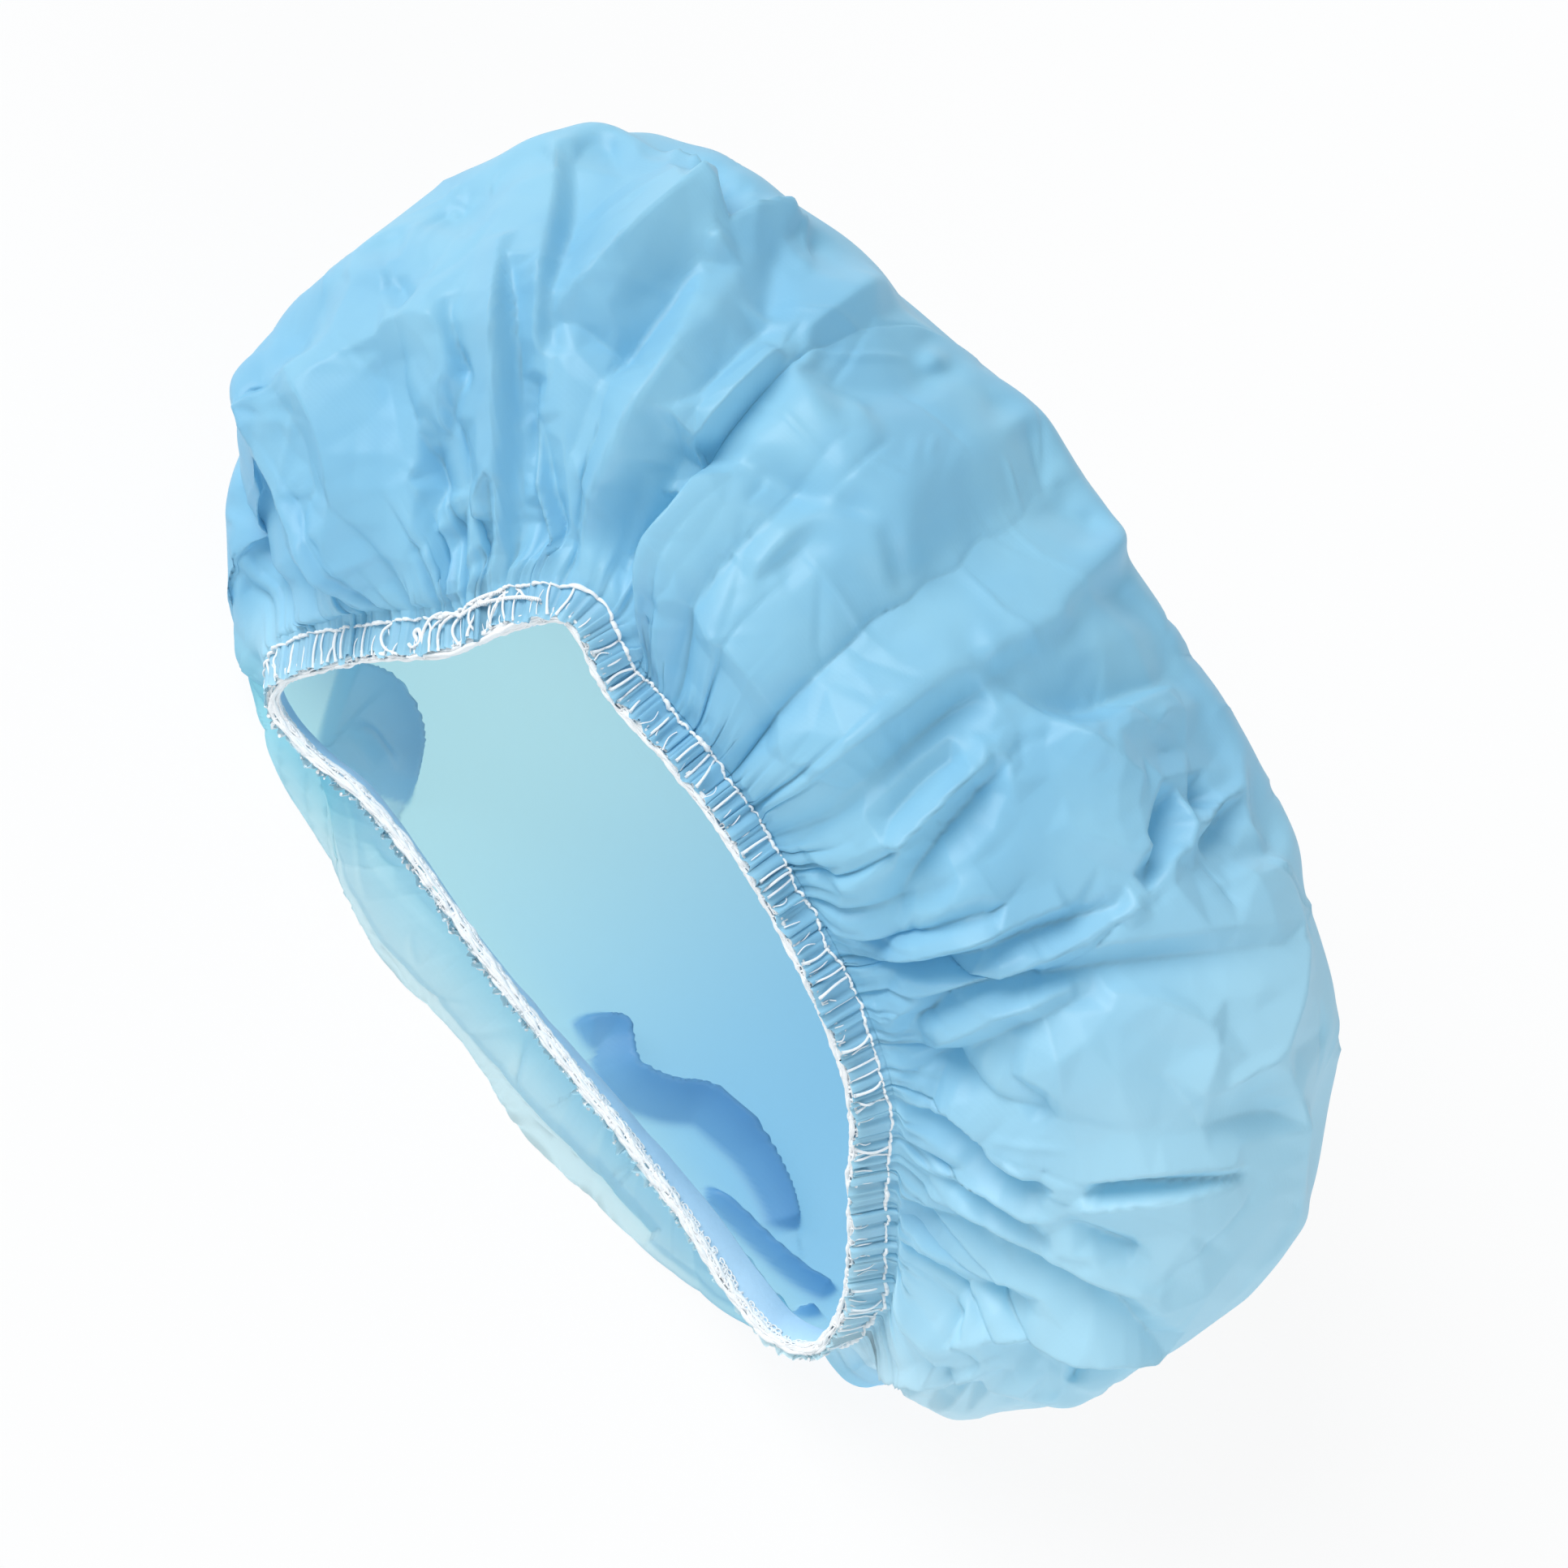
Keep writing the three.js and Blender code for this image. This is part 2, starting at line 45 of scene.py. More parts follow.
# The cap's measures, in mm
# They repeat the solid model's, because the film is the same form with finer folds.
BODY_MIDDLE = np.array([0.101, -11.546, 66.0])
BODY_LENGTH, BODY_BREADTH = 303.0, 184.0
UPPER_DEPTH, LOWER_DEPTH = 72.0, 72.0
OUTLINE_LEAN = math.radians(29)
SECTION_POWER = 2.3
OUTLINE_SHARES = [
    1.0, 0.99, 0.995, 0.98, 0.96, 0.965, 0.995, 1.03, 1.03, 1.075, 1.12, 1.05,
    1.0, 1.03, 1.07, 1.11, 1.085, 1.095, 1.06, 1.09, 1.1, 1.115, 1.085, 1.02,
]
MOUTH_LENGTH, MOUTH_HEIGHT = 187.0, 93.0
MOUTH_LEAN = math.radians(14)
MOUTH_FOOT = BODY_MIDDLE + np.array([6.4, -65.8, -42.2])
MOUTH_SHARES = [
    (0.5, 0.03), (0.475, 0.235), (0.37, 0.515), (0.28, 0.72), (0.135, 0.86), (-0.05, 0.95),
    (-0.136, 0.955), (-0.237, 0.945), (-0.327, 0.99), (-0.363, 0.85), (-0.395, 0.6),
    (-0.446, 0.4), (-0.485, 0.2), (-0.5, 0.075), (-0.487, 0.01), (-0.43, -0.005),
    (-0.347, 0.045), (-0.276, 0.055), (-0.16, 0.033), (-0.03, 0.01), (0.186, -0.006),
    (0.302, -0.033), (0.39, -0.065), (0.462, -0.055),
]
HEM_FLARES = [
    8, 34, 38, 30, 21, 17, 17, 20, 30, 43, 47, 47, 45, 40, 33, 32, 34, 40, 45, 38, 20, 0, -16, -8,
]
FLARE_TURN_BELOW, FLARE_TURN_ABOVE = math.radians(7), math.radians(26)
HEM_WIDTH = 9.0
NEEDLE_LINE = 7.4

# Objects and faces
def put(name, data):
    """A new object in the scene."""
    obj = bpy.data.objects.new(name, data)
    bpy.context.scene.collection.objects.link(obj)
    return obj


def link(name, vertices, faces):
    """A smooth shaded mesh in the scene, from places in mm and faces."""
    mesh = bpy.data.meshes.new(name)
    mesh.from_pydata((np.asarray(vertices) * MM).tolist(), [], [tuple(f) for f in faces])
    mesh.validate()
    mesh.update()
    mesh.polygons.foreach_set("use_smooth", [True] * len(mesh.polygons))
    return put(name, mesh)


def grid_faces(columns, rows):
    """The faces between columns of points that go round and close."""
    i, j = np.arange(columns)[:, None], np.arange(rows - 1)[None, :]
    a, b = i * rows + j, (i + 1) % columns * rows + j
    return np.stack([a, b, b + 1, a + 1], axis=-1).reshape(-1, 4).tolist()


def ring_faces(rings, sides, closed=False, clockwise=False):
    """The faces between rings of points, with both ends shut unless the rings close."""
    i, k = np.arange(rings if closed else rings - 1)[:, None], np.arange(sides)[None, :]
    here, there, beside = i * sides, (i + 1) % rings * sides, (k + 1) % sides
    a, b, c, d = here + k, there + k, there + beside, here + beside
    corners = [a, b, c, d] if clockwise else [a, d, c, b]
    faces = np.stack(corners, axis=-1).reshape(-1, 4).tolist()
    if not closed:
        faces += [list(range(sides)), [(rings - 1) * sides + m for m in reversed(range(sides))]]
    return faces


# The camera
# The photograph looks down at 61 degrees, turned so that the cap's long axis runs down to the
# right. PHOTO_MIDDLE is the pixel of the photograph's 1932 that the body's middle falls on.
PHOTO_SIZE = 1932
PHOTO_MIDDLE = np.array([973.0, 961.0])
PHOTO_ROLL = math.radians(50.58)
CAMERA_DISTANCE = 1290.0
LENS, SENSOR = 135.0, 36.0
# How near and how far it sees, in metres.
CLIP = (0.05, 20)

E_X = np.array([1.0, 0.0, 0.0])
E_V = np.array([0.0, math.cos(OUTLINE_LEAN), math.sin(OUTLINE_LEAN)])
E_C = np.array([0.0, -math.sin(OUTLINE_LEAN), math.cos(OUTLINE_LEAN)])
IMAGE_RIGHT = math.cos(PHOTO_ROLL) * E_X + math.sin(PHOTO_ROLL) * E_V
IMAGE_UP = -math.sin(PHOTO_ROLL) * E_X + math.cos(PHOTO_ROLL) * E_V
MM_PER_PIXEL = SENSOR / LENS * CAMERA_DISTANCE / PHOTO_SIZE
OFFSET = (PHOTO_MIDDLE - PHOTO_SIZE / 2) * MM_PER_PIXEL
CAMERA_AT = (BODY_MIDDLE + CAMERA_DISTANCE * E_C
             - OFFSET[0] * IMAGE_RIGHT + OFFSET[1] * IMAGE_UP)


def to_photo(points):
    """The photograph's pixels that points, in mm, fall on."""
    away = points - CAMERA_AT
    depth = -(away @ E_C)
    scale = LENS / SENSOR * PHOTO_SIZE / depth
    return np.stack([PHOTO_SIZE / 2 + (away @ IMAGE_RIGHT) * scale,
                     PHOTO_SIZE / 2 - (away @ IMAGE_UP) * scale], axis=-1)


def add_camera():
    """Looks at the cap from the photograph's place."""
    data = bpy.data.cameras.new("camera")
    data.lens, data.sensor_width = LENS, SENSOR
    data.clip_start, data.clip_end = CLIP
    camera = put("camera", data)
    axes = np.stack([IMAGE_RIGHT, IMAGE_UP, E_C], axis=1)
    place = np.eye(4)
    place[:3, :3], place[:3, 3] = axes, CAMERA_AT * MM
    camera.matrix_world = Matrix(place.tolist())
    bpy.context.scene.camera = camera


# Smooth curves and noise
def unit(v):
    """Directions of length one."""
    return v / np.linalg.norm(v, axis=-1, keepdims=True)


def smoothstep(x, low, high):
    """A share that rises softly from 0 to 1 as a value goes from low to high."""
    t = np.clip((x - low) / (high - low), 0, 1)
    return t * t * (3 - 2 * t)


def between(t, a, b, c, d):
    """A value between b and c on a smooth curve through four values."""
    return b + 0.5 * t * (c - a + t * (2 * a - 5 * b + 4 * c - d + t * (3 * (b - c) + d - a)))


def even(count):
    """Even places round a loop, from 0 up to 1."""
    return np.arange(count) / count


def round_list(values, place):
    """A smooth curve through a list that closes on itself, at places from 0 to 1."""
    values = np.asarray(values, float)
    n = len(values)
    at = (np.asarray(place) % 1.0) * n
    i = np.floor(at).astype(int)
    t = at - i
    return between(t, *(values[(i + k) % n] for k in (-1, 0, 1, 2)))


def round_noise(place, count, seed):
    """Smooth random numbers from -1 to 1 round a loop."""
    return round_list(np.random.default_rng(seed).uniform(-1, 1, count), place)


def wavering(value, place, *wavers):
    """A value that changes round a loop. Each waver is how far, how often and its seed."""
    for size, count, seed in wavers:
        value = value + size * round_noise(place, count, seed)
    return value


# The rim
# Each corner of the mouth's outline has this many points. Its direction is taken over this share
# of the rim to both sides, and its outline in the photograph has each sixteenth point.
CORNER_STEPS, TANGENT_REACH, OUTLINE_STEP = 96, 0.004, 16
MOUTH_UP = np.array([0, math.sin(MOUTH_LEAN), math.cos(MOUTH_LEAN)])
MOUTH_IN = np.array([0, math.cos(MOUTH_LEAN), -math.sin(MOUTH_LEAN)])


def mouth_curve(samples):
    """Points on the mouth's outline with their place in the list of corners, from 0 to 1."""
    corners = np.array([MOUTH_FOOT + E_X * x * MOUTH_LENGTH + MOUTH_UP * w * MOUTH_HEIGHT
                        for x, w in MOUTH_SHARES])
    n = len(corners)
    place = even(samples)
    at = place * n
    i = np.floor(at).astype(int)
    t = (at - i)[:, None]
    p0, p1, p2, p3 = (corners[(i + k) % n] for k in (-1, 0, 1, 2))
    d0, d1, d2 = (np.linalg.norm(b - a, axis=1, keepdims=True) ** 0.5
                  for a, b in ((p0, p1), (p1, p2), (p2, p3)))
    t1 = ((p1 - p0) / d0 - (p2 - p0) / (d0 + d1) + (p2 - p1) / d1) * d1
    t2 = ((p2 - p1) / d1 - (p3 - p1) / (d1 + d2) + (p3 - p2) / d2) * d1
    return p1 + t * t1 + t * t * (-3 * p1 + 3 * p2 - 2 * t1 - t2) + t ** 3 * (
        2 * p1 - 2 * p2 + t1 + t2), place


CURVE, CURVE_PLACE = mouth_curve(len(MOUTH_SHARES) * CORNER_STEPS)
STEPS = np.linalg.norm(np.roll(CURVE, -1, axis=0) - CURVE, axis=1)
CURVE_ARC = np.concatenate([[0], np.cumsum(STEPS)])
RIM_LENGTH = CURVE_ARC[-1]


def on_curve(u):
    """Points on the mouth's outline, at places round it from 0 to 1."""
    arc = (u % 1.0) * RIM_LENGTH
    closed = np.vstack([CURVE, CURVE[:1]])
    return np.stack([np.interp(arc, CURVE_ARC, closed[:, k]) for k in range(3)], axis=-1)


def corner_place(u):
    """Where places round the rim fall in the list of the mouth's corners, from 0 to 1."""
    return np.interp((u % 1.0) * RIM_LENGTH, CURVE_ARC, np.append(CURVE_PLACE, 1.0))


def by_rim(u, across, out):
    """A point by the rim: its place round it from 0 to 1, how far across the band into the cap
    and how far out of the band's outer face."""
    u, across, out = np.broadcast_arrays(u, across, out)
    point = on_curve(u)
    tangent = unit(on_curve(u + TANGENT_REACH) - on_curve(u - TANGENT_REACH))
    outward = unit(np.cross(np.broadcast_to(MOUTH_IN, tangent.shape), tangent))
    centre = MOUTH_FOOT + MOUTH_UP * MOUTH_HEIGHT / 2
    if np.mean(np.sum(outward * (point - centre), -1)) < 0:
        outward = -outward
    flare = np.radians(round_list(HEM_FLARES, corner_place(u)))[..., None]
    way_in = MOUTH_IN * np.cos(flare) + outward * np.sin(flare)
    way_out = outward * np.cos(flare) - MOUTH_IN * np.sin(flare)
    return point + way_in * across[..., None] + way_out * out[..., None]


# The smooth body
def film_reach(direction):
    """How far the film lies from the body's middle in a direction."""
    along = direction @ E_V
    above = direction @ E_C
    angle = np.arctan2(along, direction[..., 0])
    outline = round_list(OUTLINE_SHARES, angle / TAU) / np.hypot(
        np.cos(angle) / (BODY_LENGTH / 2), np.sin(angle) / (BODY_BREADTH / 2))
    flat = np.hypot(direction[..., 0], along) / outline
    deep = np.abs(above) / np.where(above > 0, UPPER_DEPTH, LOWER_DEPTH)
    return (flat ** SECTION_POWER + deep ** SECTION_POWER) ** (-1 / SECTION_POWER)


# On the table the film bends up softly, the more the further back: how much, and from where to
# where. Below that it lies a gap above the table, and comes down to it this softly.
TABLE_BEND, BEND_PLACES = (3.0, 22.0), (-55.0, 10.0)
TABLE_GAP, TABLE_SOFTNESS = 0.1, 0.8
# How far the hem stands out of the band's outer face, and the tips of its raw edge past the rim.
HEM_LEVEL, RUFFLE = 0.7, 0.7
FORWARD = np.array([0.0, -1.0, 0.0])
RIBS = 288
COLUMNS, HEM_ROWS, BODY_ROWS = RIBS * 4, 12, 260
# The rows are chosen from fine steps. They lie closer together where the film turns, by this
# many mm for each radian, and near the hem, by this share.
FINE, FINE_POWER, ROW_TURN, ROW_SPREAD = 480, 1.15, 12.0, 0.5
# The way from the hem is spread by how steeply the column leaves the mouth.
FLARE_SHARES = (-0.4, 0.6)
# The raw edge's tips: their middle size, how they waver, and how soon they end up the hem.
TIP_SIZE, TIP_WAVERS, TIP_POWER = 0.4, ((1, RIBS, 18), (0.6, 90, 19)), 4


def smooth_body():
    """The film without its folds: a grid of points, columns by rows, with the distance of each
    from the hem, and the point at the crown."""
    u = even(COLUMNS)
    # The raw edge sticks out in small tips beyond the stitches.
    tips = RUFFLE * wavering(TIP_SIZE, u, *TIP_WAVERS)
    hem = np.stack([
        by_rim(u, HEM_WIDTH * j / HEM_ROWS - tips * (1 - j / HEM_ROWS) ** TIP_POWER, HEM_LEVEL)
        for j in range(HEM_ROWS + 1)], axis=1)
    back = hem[:, -1] - BODY_MIDDLE
    start_reach = np.linalg.norm(back, axis=1)
    start_turn = np.arccos(np.clip(back @ FORWARD / start_reach, -1, 1))
    sideways = unit(back * np.array([1, 0, 1]))
    # Columns spread evenly round the body, so neighbours may not cross at the mouth's corners.
    height = smoothstep(sideways[:, 2], *FLARE_SHARES)
    flare = FLARE_TURN_BELOW + (FLARE_TURN_ABOVE - FLARE_TURN_BELOW) * height
    share = np.linspace(0, 1, FINE + 1)[None, :] ** FINE_POWER
    turn = start_turn[:, None] + (math.pi - start_turn[:, None]) * share
    direction = (FORWARD * np.cos(turn)[..., None]
                 + sideways[:, None, :] * np.sin(turn)[..., None])
    opening = smoothstep(turn, start_turn[:, None], (start_turn + flare)[:, None])
    reach = start_reach[:, None] * (1 - opening) + film_reach(direction) * opening
    path = BODY_MIDDLE + direction * reach[..., None]
    # The underside settles on the table with a soft bend all round, widest at the back.
    bend = TABLE_BEND[0] + (TABLE_BEND[1] - TABLE_BEND[0]) * smoothstep(
        path[..., 1], *BEND_PLACES)
    path[..., 2] = 0.5 * (path[..., 2] + np.hypot(path[..., 2], bend))
    steps = np.linalg.norm(np.diff(path, axis=1), axis=2)
    arc = np.concatenate([np.zeros((COLUMNS, 1)), np.cumsum(steps, axis=1)], axis=1)
    ways = unit(np.diff(path, axis=1))
    turns = np.linalg.norm(np.diff(ways, axis=1), axis=2)
    steps[:, 1:] += ROW_TURN * turns
    spread = np.concatenate([np.zeros((COLUMNS, 1)), np.cumsum(steps, axis=1)], axis=1)
    rows = np.arange(1, BODY_ROWS) / BODY_ROWS
    rows = (1 - ROW_SPREAD) * rows + ROW_SPREAD * rows ** 2
    body = np.empty((COLUMNS, BODY_ROWS - 1, 3))
    distance = np.empty((COLUMNS, BODY_ROWS - 1))
    for i in range(COLUMNS):
        at = rows * spread[i, -1]
        distance[i] = np.interp(at, spread[i], arc[i])
        for k in range(3):
            body[i, :, k] = np.interp(at, spread[i], path[i, :, k])
    crown = path[:, -1].mean(axis=0)
    hem_distance = np.repeat(np.linspace(-HEM_WIDTH, 0, HEM_ROWS + 1)[None], COLUMNS, 0)
    distance = np.concatenate([hem_distance, distance], axis=1)
    return np.concatenate([hem, body], axis=1), distance, crown


def grid_normals(grid, crown):
    """The film's outward directions at the points of its grid."""
    closed = np.concatenate([grid, np.broadcast_to(crown, (len(grid), 1, 3))], axis=1)
    round_way = np.roll(closed, -1, axis=0) - np.roll(closed, 1, axis=0)
    along = np.empty_like(closed)
    along[:, 1:-1] = closed[:, 2:] - closed[:, :-2]
    along[:, 0], along[:, -1] = closed[:, 1] - closed[:, 0], closed[:, -1] - closed[:, -2]
    normals = np.cross(round_way, along)[:, :-1]
    normals = normals / np.maximum(np.linalg.norm(normals, axis=-1, keepdims=True), 1e-9)
    away = grid - BODY_MIDDLE
    if np.mean(np.sum(normals * away, -1)) < 0:
        normals = -normals
    return normals


# The gathers
# Between these distances from the hem, in mm, the folds' backs grow flatter and their valleys
# narrower, by this power.
FLATTER, FLATTER_PLACES = 0.3, (5, 60)


def fold_valleys(count, jitter, seed):
    """Places round the rim where the folds meet, not quite even."""
    rng = np.random.default_rng(seed)
    return (np.arange(count) + rng.uniform(-jitter, jitter, count)) / count


def merged(valleys, sizes, seed):
    """Some of the valleys, so that two or three neighbouring folds become one."""
    rng = np.random.default_rng(seed)
    kept, i = [], 0
    while i < len(valleys):
        kept.append(valleys[i])
        i += int(rng.choice(sizes))
    return np.array(kept)


def fold_wave(u, s, valleys, power, seed):
    """The height of a row of folds at places round the rim, with each fold's own numbers."""
    order = np.sort(valleys)
    u = u % 1.0
    i = np.searchsorted(order, u, side="right") - 1
    low = np.where(i < 0, order[-1] - 1, order[i])
    i = i % len(order)
    high = np.where(i + 1 < len(order), order[(i + 1) % len(order)], order[0] + 1)
    high = np.where(high <= low, high + 1, high)
    part = np.clip((u - low) / (high - low), 0, 1)
    own = np.random.default_rng(seed).uniform(0, 1, (3, len(order)))[:, i]
    return np.sin(math.pi * part) ** (power - FLATTER * smoothstep(s, *FLATTER_PLACES)), own


RIB_VALLEYS = fold_valleys(RIBS, 0.3, 11)
TINY_VALLEYS = merged(RIB_VALLEYS, [1, 2, 2, 3], 17)
SMALL_VALLEYS = merged(TINY_VALLEYS, [2, 2, 3, 3], 12)
MIDDLE_VALLEYS = merged(SMALL_VALLEYS, [2, 2, 3], 13)
LARGE_VALLEYS = merged(MIDDLE_VALLEYS, [2, 2, 3], 14)
# Each row of folds: its valleys, roundness, height, where it starts, how far it runs, its seed.
FOLD_ROWS = (
    (RIB_VALLEYS, 0.6, 0.9, None, 8, 21),
    (TINY_VALLEYS, 0.6, 1.25, None, 16, 25),
    (SMALL_VALLEYS, 0.7, 3.0, 5, 28, 22),
    (MIDDLE_VALLEYS, 0.75, 4.4, 12, 48, 23),
    (LARGE_VALLEYS, 0.85, 4.4, 26, 75, 24),
)
# How strong the gathers are, at the corners of the mouth's outline.
GATHER_SHARES = [
    0.6, 1, 1, 1, 1, 1, 1, 1, 1, 1, 1, 1, 1, 0.9, 0.5, 0.25, 0.2, 0.15, 0.1, 0.1, 0.1, 0.1, 0.15, 0.3,
]
# The folds wander sideways, by this share of the rim and between these distances from the hem. Each
# wave has its share of that, how it turns with the distance, how often it comes and its seed.
FOLD_WANDER, WANDER_PLACES = 0.0035, (5, 70)
WANDER_WAVES = ((1, 0.0011, 23, 15), (0.4, -0.002, 57, 16))
# Each fold's own length, rise and height: the least share of its row's, and how much may be added.
OWN_LENGTH, OWN_RISE, OWN_HEIGHT = (0.5, 1.1), (0.7, 0.6), (0.45, 0.95)
# The larger folds begin here, in mm from the hem, and all fade between these shares of their
# length. Along the hem the smallest ones are strong everywhere. All lean aside, up to a share.
RISE_FROM, FADE_SHARES, HEM_PLACES, FOLD_LEAN = -2, (0.35, 1.5), (-3, 3), 1.8


def gather_shift(u, s):
    """How far the gathers push the film out, and how far sideways, in mm, at each point."""
    wander = FOLD_WANDER * smoothstep(s, *WANDER_PLACES)
    v = u
    for share, turn, count, seed in WANDER_WAVES:
        v = v + share * wander * round_noise(u + s * turn, count, seed)
    strength = round_list(GATHER_SHARES, corner_place(u))
    out, side = 0, 0
    for valleys, power, depth, rise, reach, seed in FOLD_ROWS:
        wave, own = fold_wave(v, s, valleys, power, seed)
        length = reach * (OWN_LENGTH[0] + OWN_LENGTH[1] * own[1])
        fade = 1 - smoothstep(s, FADE_SHARES[0] * length, FADE_SHARES[1] * length)
        if rise is None:
            grow = strength + (1 - strength) * (1 - smoothstep(s, *HEM_PLACES))
        else:
            grow = strength * smoothstep(s, RISE_FROM, rise * (OWN_RISE[0] + OWN_RISE[1] * own[1]))
        height = depth * (OWN_HEIGHT[0] + OWN_HEIGHT[1] * own[0]) * fade * grow * wave
        out = out + height
        side = side + (own[2] - 0.5) * FOLD_LEAN * height
    return out, side


